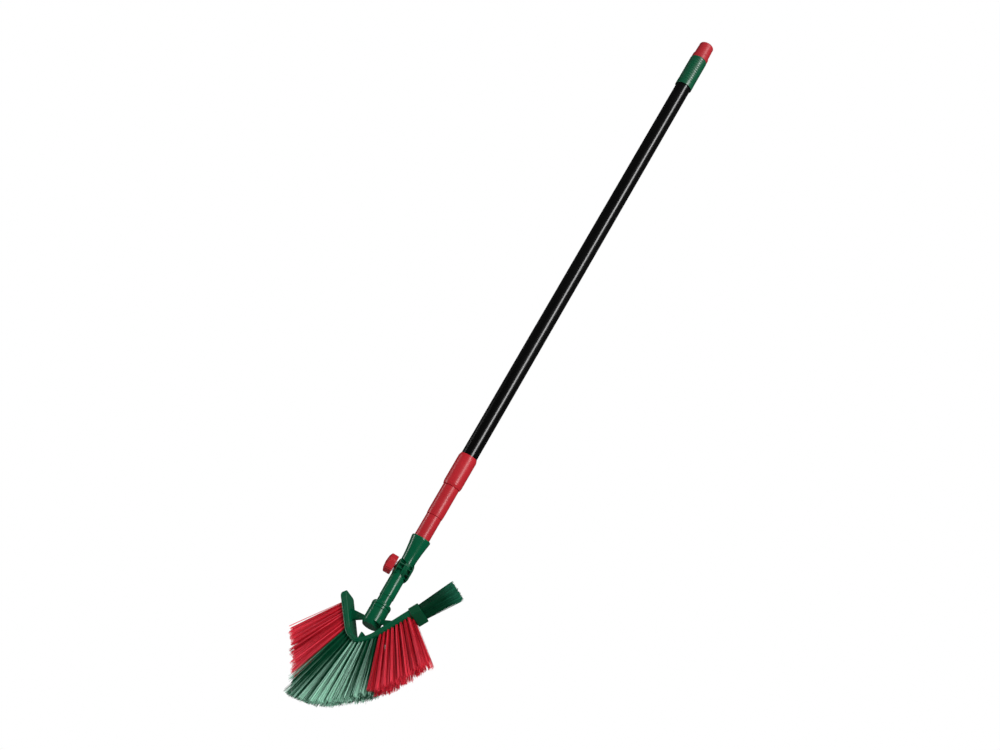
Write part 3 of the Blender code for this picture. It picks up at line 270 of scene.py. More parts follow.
# %% Bare metal
METAL_CLOUD_SCALE = 300.0
METAL_CLOUD = (0.85, 1.05)
METAL_GLOSS_SCALE = 700.0
METAL_GLOSS_SPREAD = 0.08


def bare_metal(name, colour, roughness):
    """Make plated or plain metal with faint cloudy wear."""
    finish, tree, shader, place = new_finish(name)
    cloud = ranged(tree, noise(tree, place, METAL_CLOUD_SCALE), *METAL_CLOUD)
    tree.links.new(scaled_colour(tree, colour, cloud), shader.inputs["Base Color"])
    low = roughness - METAL_GLOSS_SPREAD
    high = roughness + METAL_GLOSS_SPREAD
    gloss = ranged(tree, noise(tree, place, METAL_GLOSS_SCALE), low, high)
    tree.links.new(gloss, shader.inputs["Roughness"])
    shader.inputs["Metallic"].default_value = 1.0
    return finish


zinc = bare_metal("zinc_plating", (0.60, 0.60, 0.58), roughness=0.30)
brass = bare_metal("plain_brass", (0.70, 0.50, 0.20), roughness=0.32)
print("metals:", zinc.name, brass.name)

# %% [markdown]
# ## Pieces that are turned
#
# The cap, the grip, the tubes, the collars and the pole's tip are all round. On a lathe
# they would be one outline carried round an axis, and so they are here. A Screw modifier
# could do that too, but arrays also close the poles and add the points below. Real mouldings
# have no knife edges, so each corner of the outline gets an arc. An arc beside a long
# straight run would smear its shading along that run. A guard point close to each end of
# the run keeps the smear short. In the outlines below, each row is a radius, a height and
# the radius of that corner's arc, all in millimetres.

# %% Outlines with rounded corners
ARC_STEPS = 6


def rounded_outline(corners):
    """Round the corners (r, z, fillet) of an outline in millimetres and give metres.

    An arc of radius f touches both sides at f / tan(h) from the corner, where h is half
    the opening angle, and its centre is f / sin(h) away on the bisector.
    """
    places = np.array([corner[:2] for corner in corners], float)
    parts = []
    for index, (here, corner) in enumerate(zip(places, corners)):
        fillet = corner[2]
        if fillet == 0:
            parts.append(here[None])
            continue
        before = places[index - 1] - here
        after = places[(index + 1) % len(places)] - here
        before = before / np.linalg.norm(before)
        after = after / np.linalg.norm(after)
        half = math.acos(before @ after) / 2
        bisector = (before + after) / np.linalg.norm(before + after)
        centre = here + bisector * fillet / math.sin(half)
        start = here + before * fillet / math.tan(half) - centre
        end = here + after * fillet / math.tan(half) - centre
        turn = math.pi - 2 * half
        share = np.linspace(0, 1, ARC_STEPS + 1)[:, None]
        spokes = np.sin((1 - share) * turn) * start + np.sin(share * turn) * end
        parts.append(centre + spokes / math.sin(turn))
    return np.concatenate(parts) * mm


# %% Guard points
GUARD_REACH = 0.3 * mm
LONG_RUN = 4 * GUARD_REACH


def guarded(outline):
    """Add a point close to both ends of every long run of a closed outline."""
    ahead = np.roll(outline, -1, axis=0)
    run = ahead - outline
    length = np.linalg.norm(run, axis=1)
    long = length > LONG_RUN
    long &= (outline[:, 0] > 0) | (ahead[:, 0] > 0)
    step = run / np.maximum(length, GUARD_REACH)[:, None] * GUARD_REACH
    trios = np.stack([outline, outline + step, ahead - step], axis=1)
    return trios[np.stack([np.ones_like(long), long, long], axis=1)]


bar = rounded_outline([(0, 0, 0), (5, 0, 1), (5, 40, 1), (0, 40, 0)])
print("points of a bar's outline:", len(bar), "and with guards:", len(guarded(bar)))

# %% Turning an outline
TURNED_SIDES = 96


def turned(name, outline, finish):
    """Carry an outline (r, z) once round the Z axis.

    Point (i, j) is (r_i cos a_j, r_i sin a_j, z_i), where a_j is j / sides of a turn.
    """
    outline = guarded(outline)
    angle = np.arange(TURNED_SIDES) * 2 * math.pi / TURNED_SIDES
    points = np.empty((len(outline), TURNED_SIDES, 3))
    points[:, :, 0] = outline[:, :1] * np.cos(angle)
    points[:, :, 1] = outline[:, :1] * np.sin(angle)
    points[:, :, 2] = outline[:, 1:]
    capped = outline[0, 0] == 0 and outline[-1, 0] == 0
    faces = grid_faces(len(outline), TURNED_SIDES, capped)
    return piece(name, points.reshape(-1, 3), faces, finish)


# %% Place and role of a piece
def span(node):
    """Give a CAD node's lowest and highest z in millimetres."""
    low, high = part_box(node)
    return low.z / mm, high.z / mm


def dress(item, body, slot, *nodes):
    """Let a piece move with a body and stand for CAD nodes. Its slot is not used."""
    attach(item, body)
    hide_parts(*nodes)
    return item


print("outer tube from and to, in mm:", [round(z, 1) for z in span("outer_tube")])

# %% [markdown]
# ## End cap with its hang hole
#
# The cap closes the top of the pole and has a hole across it to hang the broom by. The
# body is a turned outline with a plug inside the tube. The hole is easiest to make as a
# drilled one: a round cutter is taken away, and the cut's rim is then rounded.

# %% Drilling and easing
EASED_SEGMENTS = 2
EASED_ANGLE = 30 * degree


def modified_mesh(item):
    """Replace an object's mesh by what its modifiers make of it."""
    graph = bpy.context.evaluated_depsgraph_get()
    mesh = bpy.data.meshes.new_from_object(item.evaluated_get(graph))
    item.modifiers.clear()
    item.data = mesh


def drilled(item, radius, reach):
    """Cut a round hole of a radius along X through the origin."""
    outline = np.array([(0, -reach), (radius, -reach), (radius, reach), (0, reach)])
    cutter = turned("drill", outline, item.data.materials[0])
    cutter.data.transform(Matrix.Rotation(math.pi / 2, 4, "Y"))
    cut = item.modifiers.new("hole", "BOOLEAN")
    cut.object = cutter
    cut.solver = "EXACT"
    modified_mesh(item)
    bpy.data.objects.remove(cutter)


def ease_edges(item, width):
    """Round an object's sharp edges and let the flat faces keep their shading."""
    bevel = item.modifiers.new("eased edges", "BEVEL")
    bevel.width = width
    bevel.segments = EASED_SEGMENTS
    bevel.limit_method = "ANGLE"
    bevel.angle_limit = EASED_ANGLE
    weights = item.modifiers.new("flat faces", "WEIGHTED_NORMAL")
    weights.keep_sharp = True


# %% End cap
CAP_RADIUS_TOP = 13.3
CAP_RADIUS_WAIST = 13.9
CAP_RADIUS_FOOT = 15.1
CAP_FLANGE_LENGTH = 8.5
CAP_SHOULDER_ABOVE = 0.7
CAP_SHOULDER_BELOW = 0.5
CAP_PLUG_RADIUS = 13.1
CAP_PLUG_LENGTH = 30.0
CAP_SEAT_GAP = 0.3
CAP_EDGE = 0.4 * mm
HANG_HOLE_RADIUS = 3.0 * mm
DRILL_REACH = 20 * mm

cap_foot, cap_top = span("end_cap")
cap_skirt = cap_foot + CAP_PLUG_LENGTH + CAP_SEAT_GAP
cap = turned("cap_body", rounded_outline([
    (0, cap_top, 0),
    (CAP_RADIUS_TOP, cap_top, 3.4),
    (CAP_RADIUS_WAIST, cap_skirt + CAP_FLANGE_LENGTH + CAP_SHOULDER_ABOVE, 1.0),
    (CAP_RADIUS_FOOT, cap_skirt + CAP_FLANGE_LENGTH - CAP_SHOULDER_BELOW, 0.9),
    (CAP_RADIUS_FOOT, cap_skirt, 0.4),
    (CAP_PLUG_RADIUS, cap_skirt, 0),
    (CAP_PLUG_RADIUS, cap_foot, 0),
    (0, cap_foot, 0),
]), soft_red)
drilled(cap, HANG_HOLE_RADIUS, DRILL_REACH)
ease_edges(cap, CAP_EDGE)
dress(cap, "outer_section", "red_plastic", "end_cap")

# %% [markdown]
# ## Ribbed grip
#
# The grip is a soft sleeve with rounded ribs all round it, one after another, and a plain
# lip at its foot. A displaced cylinder could fake them, but real ribs catch the light in
# a row of beads, and only true geometry does that from every side. Each rib is half a
# sine wave along the pole.

# %% Grip
GRIP_BORE = 14.3
GRIP_VALLEY = 14.9
GRIP_RIB_HEIGHT = 0.75
GRIP_RIBS = 11
GRIP_RIB_STEPS = 12
GRIP_LIP_RADIUS = 15.75
GRIP_LIP_LENGTH = 11.0
GRIP_LIP_SHOULDER = 1.2
GRIP_MOUTH_LENGTH = 1.4
GRIP_MOUTH_RADIUS = 15.3

grip_foot, grip_top = span("grip")
share = np.linspace(0, GRIP_RIBS, GRIP_RIBS * GRIP_RIB_STEPS + 1)
rib_height = GRIP_VALLEY + GRIP_RIB_HEIGHT * np.abs(np.sin(share * math.pi))
rib_z = grip_foot + GRIP_LIP_LENGTH
rib_z = rib_z + (grip_top - rib_z) * share / GRIP_RIBS
lip = rounded_outline([
    (GRIP_BORE, grip_top, 0),
    (GRIP_BORE, grip_foot + GRIP_MOUTH_LENGTH, 0),
    (GRIP_MOUTH_RADIUS, grip_foot, 0.1),
    (GRIP_LIP_RADIUS, grip_foot, 0.3),
    (GRIP_LIP_RADIUS, grip_foot + GRIP_LIP_LENGTH - GRIP_LIP_SHOULDER, 0.8),
    (GRIP_VALLEY, grip_foot + GRIP_LIP_LENGTH, 0),
])
ribs = np.stack([rib_height, rib_z], axis=1)[1:] * mm
grip = turned("grip_sleeve", np.concatenate([lip, ribs]), soft_green)
dress(grip, "outer_section", "green_plastic", "grip")

# %% [markdown]
# ## Telescopic tubes
#
# Three thin steel tubes slide in one another. A cylinder with a Solidify modifier would
# have sharp ends. So each is a ring-shaped outline carried round the axis, with its cut
# edges just broken, as a tube cutter and a deburring tool leave them.

# %% Tubes
TUBE_WALL = 0.6
TUBE_EDGE = 0.2
tube_bodies = {
    "outer_tube": "outer_section",
    "middle_tube": "middle_section",
    "inner_tube": "inner_section",
}
for node, body in tube_bodies.items():
    tube_foot, tube_top = span(node)
    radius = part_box(node)[1].x / mm
    bore = radius - TUBE_WALL
    tube = turned(node + "_coated", rounded_outline([
        (bore, tube_foot, TUBE_EDGE), (radius, tube_foot, TUBE_EDGE),
        (radius, tube_top, TUBE_EDGE), (bore, tube_top, TUBE_EDGE),
    ]), black_coating)
    dress(tube, body, "black_paint", node)

# %% [markdown]
# ## Collars and the pole's tip
#
# A collar is pressed on the end of the outer and of the middle tube and lets the next tube
# pass. Its outside is straight and draws in over its last few millimetres. The tip below
# is a plain turned plug, straight where it shows and tapered where it sits in the joint's
# funnel. Both collars have the same kind of outline, so one helper makes them.

# %% Collars
COLLAR_LIP_LENGTH = 9.4


def collar(name, node, body, radius, seat, passing, shoulder, draw):
    """Make a collar whose top and foot draw in by a (length, depth) each.

    Its bore fits the tube that it sits on down to the lip, and there the passing one.
    """
    foot, top = span(node)
    lip_top = foot + COLLAR_LIP_LENGTH
    item = turned(name, rounded_outline([
        (seat, top, 0),
        (seat, lip_top, 0),
        (passing, lip_top, 0),
        (passing, foot, 0),
        (radius - draw[1], foot, 0.4),
        (radius, foot + draw[0], 5.0),
        (radius, top - shoulder[0], 2.5),
        (radius - shoulder[1], top, 0.15),
    ]), red_plastic)
    return dress(item, body, "red_plastic", node)


collar(
    "upper_collar_body", "upper_collar", "outer_section",
    radius=16.15, seat=14.3, passing=12.8, shoulder=(4.8, 1.5), draw=(4.6, 1.1),
)
collar(
    "lower_collar_body", "lower_collar", "middle_section",
    radius=14.15, seat=12.8, passing=11.3, shoulder=(1.2, 0.4), draw=(6.5, 0.5),
)

# %% The pole's tip
TIP_RADIUS = 13.2
TIP_END_RADIUS = 10.7
TIP_BORE = 11.3
TIP_SEAT = 52.0
TIP_STRAIGHT = 39.9

tip_end, tip_top = span("pole_tip")
tip = turned("pole_tip_body", rounded_outline([
    (0, tip_end, 0),
    (TIP_END_RADIUS, tip_end, 0.8),
    (TIP_RADIUS, tip_top - TIP_STRAIGHT, 0),
    (TIP_RADIUS, tip_top, 0.8),
    (TIP_BORE, tip_top, 0),
    (TIP_BORE, tip_top - TIP_SEAT, 0),
    (0, tip_top - TIP_SEAT, 0),
]), red_plastic)
dress(tip, "inner_section", "red_plastic", "pole_tip")

# %% [markdown]
# ## The joint, the knob, the head's frame and the clip
#
# These mouldings have flat and round parts that run into one another. They could be made
# anew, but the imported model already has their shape, as loose triangles with knife edges. Each
# copy is merged into one skin, its flat parts are joined into whole faces, and its edges
# are eased as a mould eases them, so that every edge catches a thin line of light. The
# knob is gripped by hand, so its edges are eased more than the others.

# %% Smooth copies of the mouldings
MERGE_REACH = 0.004 * mm
FLAT_ANGLE = 0.6 * degree


def eased_copy(node, name, finish, width):
    """Copy a CAD node, merge its triangles, join its flat faces and ease its edges."""
    shape = bmesh.new()
    shape.from_mesh(frame["nodes"][node].data)
    bmesh.ops.remove_doubles(shape, verts=shape.verts, dist=MERGE_REACH)
    bmesh.ops.dissolve_limit(
        shape, angle_limit=FLAT_ANGLE, verts=shape.verts, edges=shape.edges,
    )
    mesh = bpy.data.meshes.new(name)
    shape.to_mesh(mesh)
    shape.free()
    mesh.shade_smooth()
    mesh.set_sharp_from_angle(angle=SHARP_ANGLE)
    mesh.materials.clear()
    mesh.materials.append(finish)
    item = bpy.data.objects.new(name, mesh)
    bpy.context.scene.collection.objects.link(item)
    ease_edges(item, width)
    print(name, "faces before easing:", len(mesh.polygons))
    return item


# %% The five mouldings
# Each row is a node, its finish, how wide its edges are eased, its body and its slot.
mouldings = [
    ("joint_fork", green_plastic, 0.35 * mm, "inner_section", "green_plastic"),
    ("joint_arm", green_plastic, 0.35 * mm, "arm", "green_plastic"),
    ("clamp_knob", red_plastic, 0.90 * mm, "knob", "red_plastic"),
    ("head_frame", green_plastic, 0.40 * mm, "head", "green_plastic"),
    ("brush_clip", clip_green, 0.40 * mm, "head", "green_plastic"),
]
for node, finish, width, body, slot in mouldings:
    dress(eased_copy(node, node + "_moulding", finish, width), body, slot, node)

# %% [markdown]
# ## Small parts inside
#
# The twist locks, the bolt, its washer and the nut are small, plain and mostly hidden.
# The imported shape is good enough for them, so they only get their finishes.

# %% Finishes for the small parts
small_parts = {
    "upper_lock_sleeve": grey_plastic,
    "upper_lock_cone": grey_plastic,
    "lower_lock_sleeve": grey_plastic,
    "lower_lock_cone": grey_plastic,
    "clamp_bolt": zinc,
    "clamp_washer": zinc,
    "knob_nut": brass,
}
for node, finish in small_parts.items():
    frame["nodes"][node].material_slots[0].material = finish
print("small parts dressed:", len(small_parts))

# %% [markdown]
# ## The V of the head
#
# The head's band is a V with a curved middle. Everything on it is easiest to place by a
# length along its outer line and a depth inside it. The line starts at the apex with a
# small slope, follows an arc and then runs straight up the arm. It lies in the head's own
# frame, whose z runs up the neck's end and which stands turned about it at rest.

# %% The head's own frame
HEAD_TURN = -38.6 * degree

turn_joint = next(joint for joint in frame["joints"] if joint["name"] == "head_turn")
head_origin = np.array(turn_joint["pos_m"])
head_up = np.array(turn_joint["axis"]) / np.linalg.norm(turn_joint["axis"])
unturned_x = np.array((1.0, 0.0, 0.0))
unturned_y = np.cross(head_up, unturned_x)
head_x = math.cos(HEAD_TURN) * unturned_x + math.sin(HEAD_TURN) * unturned_y
head_axes = np.stack([head_x, np.cross(head_up, head_x), head_up])


def in_head(points):
    """Take points or rows of points from the head's own frame to the broom's."""
    return head_origin + points @ head_axes


print("the head's middle, in mm:", (head_origin / mm).round(1))

# %% The band's outer line
BAND_CURVE_RADIUS = 55.6 * mm
BAND_START_ANGLE = 12.2 * degree
BAND_ARM_ANGLE = 51.5 * degree
BAND_APEX_BELOW = 38.8 * mm


def band_line(along):
    """Give the V's outer line at signed lengths from its apex.

    The slope angle grows as length / radius along the arc and then stays. Returns the
    points, the unit tangents away from the apex and the inward normals, all as (x, z).
    At the apex itself the normal is mitred, so both halves meet there.
    """
    along = np.asarray(along, float)
    side = np.where(along >= 0, 1.0, -1.0)
    length = np.abs(along)
    arc = BAND_CURVE_RADIUS * (BAND_ARM_ANGLE - BAND_START_ANGLE)
    curved = np.minimum(length, arc)
    angle = BAND_START_ANGLE + curved / BAND_CURVE_RADIUS
    x = BAND_CURVE_RADIUS * (np.sin(angle) - math.sin(BAND_START_ANGLE))
    z = BAND_CURVE_RADIUS * (math.cos(BAND_START_ANGLE) - np.cos(angle))
    x = x + (length - curved) * np.cos(angle)
    z = z + (length - curved) * np.sin(angle) - BAND_APEX_BELOW
    point = np.stack([side * x, z], axis=-1)
    tangent = np.stack([side * np.cos(angle), np.sin(angle)], axis=-1)
    normal = np.stack([-side * np.sin(angle), np.cos(angle)], axis=-1)
    apex = np.array((0.0, 1 / math.cos(BAND_START_ANGLE)))
    normal = np.where((length == 0)[..., None], apex, normal)
    return point, tangent, normal


print("the band's apex in the head, in mm:", (band_line(0.0)[0] / mm).round(1))

# %% [markdown]
# ## The strip that holds the bristles
#
# The bristles are stapled into the outermost layer of the band. It is the same moulding
# as the rest, so it is green, with its long edges rounded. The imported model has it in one
# with the bristles, so it is made anew here: its cross-section is carried along the V and
# closed at both ends.

# %% Cross-section and stations
BAND_WIDTH = 31.0
BACKING_DEPTH = 2.7
BACKING_EDGE = 0.8
LEFT_END = -87.6 * mm
RIGHT_END = 97.7 * mm
STATION_STEP = 1.5 * mm

section = rounded_outline([
    (-BAND_WIDTH / 2, BACKING_DEPTH, 0),
    (BAND_WIDTH / 2, BACKING_DEPTH, 0),
    (BAND_WIDTH / 2, 0, BACKING_EDGE),
    (-BAND_WIDTH / 2, 0, BACKING_EDGE),
])
left_stations = np.linspace(LEFT_END, 0, int(-LEFT_END / STATION_STEP))
right_stations = np.linspace(0, RIGHT_END, int(RIGHT_END / STATION_STEP))
stations = np.concatenate([left_stations, right_stations[1:]])
print("stations:", len(stations), "points of the section:", len(section))


# %% Backing strip
def carried_along_band(name, section, stations, finish):
    """Carry a closed section (across, depth) along the band's outer line.

    Point (i, k) is line(s_i) + depth_k x normal(s_i), at across_k sideways. The first
    and last section are repeated, shrunk to their middle, to close the ends.
    """
    stations = np.concatenate([stations[:1], stations, stations[-1:]])
    sections = np.repeat(section[None], len(stations), axis=0)
    sections[[0, -1]] = section.mean(axis=0)
    point, _, normal = band_line(stations)
    flat = point[:, None] + sections[:, :, 1:] * normal[:, None]
    local = np.stack([flat[:, :, 0], sections[:, :, 0], flat[:, :, 1]], axis=-1)
    faces = grid_faces(len(stations), len(section), True)
    return piece(name, in_head(local).reshape(-1, 3), faces, finish)


backing = carried_along_band("bristle_backing", section, stations, green_plastic)
dress(
    backing, "head", "green_plastic",
    "left_bristles", "middle_bristles", "right_bristles",
)

# %% [markdown]
# ## Bristles
#
# A broom's bristles are plastic filaments, folded and stapled into holes, so they leave
# the backing as round tufts and spread as they go. Hair particles would not survive in a
# mesh file. Instead each filament is a thin four-sided strand on a slightly bowed line,
# and one array holds all the strands of a strip.
#
# Each strand carries a number for its tone, so that neighbours differ as real filaments
# do. A second number, its shade, mixes a dark and a pale colour. It is partly the filaments'
# own colour and partly painted light and shade. It grows towards the tip, as painted light on
# the spread tips and painted shade on the packed roots, where light hardly gets between them.

# %% Faces of the strands
STRAND_LEVELS = 4
STRAND_SIDES = 4


def strand_faces(count):
    """Join every strand's rings of points and close its two ends."""
    side = np.arange(STRAND_SIDES)
    ahead = (side + 1) % STRAND_SIDES
    rings = [
        np.stack([side, ahead, ahead + STRAND_SIDES, side + STRAND_SIDES], axis=1)
        + level * STRAND_SIDES
        for level in range(STRAND_LEVELS - 1)
    ]
    top = (STRAND_LEVELS - 1) * STRAND_SIDES + side
    one = np.concatenate(rings + [side[None, ::-1], top[None]])
    first = np.arange(count) * STRAND_LEVELS * STRAND_SIDES
    return (first[:, None, None] + one).reshape(-1, STRAND_SIDES)


print("faces of one strand:", len(strand_faces(1)))

# %% Strands as one array
STRAND_TAPER = 0.2
# Painted light: each strand is paler towards its tip and darker, as painted shade, at its root.
PAINTED_TIP_LIGHT = 0.70


def strands(name, root, direction, length, bow, radius, tone, shade, finish):
    """Make all strands of one strip.

    At share t the middle of a strand is root + direction x length x t + bow x t^2. Its
    ring is radius x (1 - taper x t) wide, in the plane across the strand's direction.
    Its shade at t is shade + tip light x (1.5 t^2 - 0.5), held between 0 and 1: painted
    light towards the tip and painted shade towards the root. The bracket averages to
    nought, so the whole strand keeps about its own shade.
    """
    share = np.linspace(0, 1, STRAND_LEVELS)[None, :, None]
    middle = root[:, None] + (direction * length[:, None])[:, None] * share
    middle = middle + bow[:, None] * share ** 2
    first = np.cross(direction, np.array((0.0, 1.0, 0.0)))
    first = first / np.linalg.norm(first, axis=1, keepdims=True)
    second = np.cross(direction, first)
    angle = (np.arange(STRAND_SIDES) + 0.5) * 2 * math.pi / STRAND_SIDES
    ring = first[:, None] * np.cos(angle)[:, None] + second[:, None] * np.sin(angle)[:, None]
    width = radius * (1 - STRAND_TAPER * share)
    points = middle[:, :, None] + ring[:, None] * width[..., None]
    points = in_head(points).reshape(-1, 3)
    item = piece(name, points, strand_faces(len(root)), finish)
    shade_with_tip_light = shade[:, None] + PAINTED_TIP_LIGHT * (1.5 * share[:, :, 0] ** 2 - 0.5)
    for word, values in (("tone", np.repeat(tone, STRAND_LEVELS)), ("shade", shade_with_tip_light.ravel())):
        layer = item.data.attributes.new(word, "FLOAT", "POINT")
        values = np.repeat(np.clip(values, 0, 1), STRAND_SIDES)
        layer.data.foreach_set("value", values.astype(np.float32))
    return item


# %% Bristle finishes
FILAMENT_TONE = (0.72, 1.25)
FILAMENT_GLOSS_SCALE = 60.0
FILAMENT_GLOSS_SPREAD = 0.05


def bristle_finish(name, dark, pale, roughness):
    """Make filaments whose colour runs from dark to pale by shade, which carries painted light
    and shade, and varies by tone.
    """
    finish, tree, shader, place = new_finish(name)
    shade = tree.nodes.new("ShaderNodeAttribute")
    shade.attribute_name = "shade"
    tone = tree.nodes.new("ShaderNodeAttribute")
    tone.attribute_name = "tone"
    mix = tree.nodes.new("ShaderNodeMix")
    mix.data_type = "RGBA"
    mix.inputs["A"].default_value = (*dark, 1.0)
    mix.inputs["B"].default_value = (*pale, 1.0)
    tree.links.new(shade.outputs["Fac"], mix.inputs["Factor"])
    factor = ranged(tree, tone.outputs["Fac"], *FILAMENT_TONE, 0.0, 1.0)
    colour = scaled_colour(tree, mix.outputs["Result"], factor)
    tree.links.new(colour, shader.inputs["Base Color"])
    low = roughness - FILAMENT_GLOSS_SPREAD
    high = roughness + FILAMENT_GLOSS_SPREAD
    gloss = ranged(tree, noise(tree, place, FILAMENT_GLOSS_SCALE), low, high)
    tree.links.new(gloss, shader.inputs["Roughness"])
    shader.inputs["Specular IOR Level"].default_value = 0.15
    return finish


red_bristle = bristle_finish(
    "red_filament", dark=(0.60, 0.010, 0.024), pale=(1.00, 0.070, 0.115), roughness=0.40,
)
# The pale green is partly the filaments' own colour and partly a painted highlight.
green_bristle = bristle_finish(
    "green_filament", dark=(0.000, 0.075, 0.030), pale=(0.53, 0.94, 0.74), roughness=0.40,
)
dark_bristle = bristle_finish(
    "dark_green_filament", dark=(0.000, 0.042, 0.016), pale=(0.03, 0.26, 0.15),
    roughness=0.45,
)
print("filaments:", red_bristle.name, green_bristle.name, dark_bristle.name)

# %% [markdown]
# ## Where the tufts stand
#
# The tufts stand in four staggered rows along the band, as the staple holes of a real
# broom do. The tufts of one row stand about a quarter of a pitch in and those of the next
# row about three quarters, so each tuft shows in the gap between two others.

# %% Tuft places
TUFT_ROWS = np.array((-10.5, -3.5, 3.5, 10.5)) * mm
TUFT_PITCH = 6.8 * mm
ROW_STAGGER = (0.27, 0.73)


def tuft_places(start, end):
    """Give the tufts' lengths along the band and their places across it."""
    columns = round((end - start) / TUFT_PITCH)
    pitch = (end - start) / columns
    column, row = np.meshgrid(np.arange(columns), np.arange(len(TUFT_ROWS)))
    stagger = np.where(row % 2 == 0, *ROW_STAGGER)
    return (start + (column + stagger) * pitch).ravel(), TUFT_ROWS[row].ravel()


print("tufts from end to end:", len(tuft_places(LEFT_END, RIGHT_END)[0]))

# %% [markdown]
# ## From a tuft to its strands
#
# A tuft starts as a round disc of filaments and spreads. The whole head also fans: a tuft
# leans outwards with its distance from the middle. Each step below is one array sum over
# all strands, with a little chance in it, because a row of equal strands looks like a comb.
# One generator with a fixed seed gives the same broom each time.

# %% Roots
TUFT_STRANDS = 46
TUFT_RADIUS = 2.3 * mm
ROOT_DEPTH = 0.8 * mm

chance = np.random.default_rng(26)


def strand_roots(along, across):
    """Place each strand in its tuft's disc, at sqrt(u) x radius and any angle.

    Here u is drawn evenly from 0 to 1, and its root spreads the strands evenly over the
    disc. Returns the roots in the head's frame and how far each is from its tuft's middle.
    """
    reach = TUFT_RADIUS * np.sqrt(chance.random(len(along)))
    angle = chance.random(len(along)) * 2 * math.pi
    sideways = reach * np.cos(angle)
    outwards = reach * np.sin(angle)
    point, tangent, normal = band_line(along)
    flat = point + tangent * sideways[:, None] + normal * ROOT_DEPTH
    root = np.stack([flat[:, 0], across + outwards, flat[:, 1]], axis=1)
    return root, sideways, outwards


print("strands in a tuft:", TUFT_STRANDS)

# %% Trim
BRISTLE_LENGTH = 120.0 * mm
TRIM_REACH = 65.0 * mm
TRIM_PLACES = (-1.0, -0.60, -0.47, -0.45, -0.36, -0.22, -0.08, 0.18, 0.46, 0.69, 1.0)
TRIM_SHARES = (0.67, 0.765, 0.845, 0.85, 1.01, 0.950, 0.870, 0.785, 0.78, 0.80, 0.74)
TRIM_SLANT = 0.50
TRIM_EXTRA = 1.6 * mm
LENGTH_NOISE = 0.6 * mm


def trimmed_lengths(root, trim_noise):
    """Cut the strands to the broom's trim, which is longest left of the apex.

    The length is the bristle length x the trim's share at x / reach, less slant x y,
    plus a small extra. The front has a negative y, so the front rows are the longest.
    Each tuft and each strand then ends a little early or late.
    """
    place = root[:, 0] / TRIM_REACH
    length = BRISTLE_LENGTH * np.interp(place, TRIM_PLACES, TRIM_SHARES)
    length = length - TRIM_SLANT * root[:, 1]
    tuft_trim = chance.normal(0.0, trim_noise, len(root) // TUFT_STRANDS)
    length = length + np.repeat(tuft_trim, TUFT_STRANDS) + TRIM_EXTRA
    return length + chance.normal(0.0, LENGTH_NOISE, len(root))


print("longest and shortest trim, in mm:", [
    round(BRISTLE_LENGTH / mm * share, 1) for share in (max(TRIM_SHARES), min(TRIM_SHARES))
])

# %% Fan
FAN_RADIUS = 84.0 * mm
SIDE_FAN_RADIUS = 230.0 * mm
DIRECTION_NOISE = 0.006


def unit(vectors):
    """Scale vectors to length one."""
    return vectors / np.linalg.norm(vectors, axis=-1, keepdims=True)


def fanned_directions(root, along, sideways, outwards, spread):
    """Point each strand down and outwards.

    With a = x / fan radius it is (sin a, y / side fan radius, -cos a), scaled to one. Its
    place in its tuft x spread / bristle length is added, then a little chance.
    """
    lean = root[:, 0] / FAN_RADIUS
    direction = np.stack([np.sin(lean), root[:, 1] / SIDE_FAN_RADIUS, -np.cos(lean)], axis=1)
    direction = unit(direction)
    direction[:, 0] += spread * np.sign(along) * sideways / BRISTLE_LENGTH
    direction[:, 1] += spread * outwards / BRISTLE_LENGTH
    return unit(direction + chance.normal(0.0, DIRECTION_NOISE, root.shape))


print("lean", round(TRIM_REACH / mm), "mm from the middle, in degrees:",
      round(TRIM_REACH / FAN_RADIUS / degree))

# %% [markdown]
# ## Dark and pale filaments, with painted light and shade
#
# The middle of the broom is green. It is palest just right of the apex and dark beside
# both red strips: partly the filaments' own pale and dark colour, and partly a painted
# highlight. From close by, each tuft shows stripes: its core is painted paler than its sides,
# which is painted light on the core and painted shade between the tufts, and small bundles
# within it stick together and differ from one another at random. The back rows get a little
# painted shade. A texture could paint this on, but a number on each strand goes with it into
# the mesh file. It is the sum of the strand's place along the band, its tuft, its bundle and
# a little of its own.

# %% Shade of a strand
BUNDLE_WIDTH = 1.2 * mm
TUFT_BUNDLES = 4
TUFT_SHADE = 0.10
BUNDLE_SHADE = 0.45
STRAND_SHADE = 0.25
CORE_SHARE = 0.45


def strand_shades(along, across, sideways, painted_core_light, shade_at):
    """Add up a strand's shade.

    Its core part is painted core light x (1 - (sideways / radius / core share)^2), held
    between -1 and 1 times the painted core light: painted light on the tuft's core and
    painted shade at its sides.
    """
    tuft = np.arange(len(along)) // TUFT_STRANDS
    tuft_shade = chance.normal(0.0, TUFT_SHADE, (tuft[-1] + 1, 1))
    bundle_shade = tuft_shade + chance.normal(0.0, BUNDLE_SHADE, (tuft[-1] + 1, TUFT_BUNDLES))
    bundle = np.floor((sideways + TUFT_RADIUS) / BUNDLE_WIDTH).astype(int)
    core = 1 - (np.abs(sideways) / TUFT_RADIUS / CORE_SHARE) ** 2
    # Painted light on each tuft's core and painted shade at its sides.
    shade = shade_at(along, across) + painted_core_light * np.clip(core, -1, 1)
    shade = shade + bundle_shade[tuft, np.clip(bundle, 0, TUFT_BUNDLES - 1)]
    return shade + chance.normal(0.0, STRAND_SHADE, len(along))


print("bundles across a tuft:", TUFT_BUNDLES)

# %% Shade along the band
LEFT_SPLIT = -35.4 * mm
RIGHT_SPLIT = 40.8 * mm
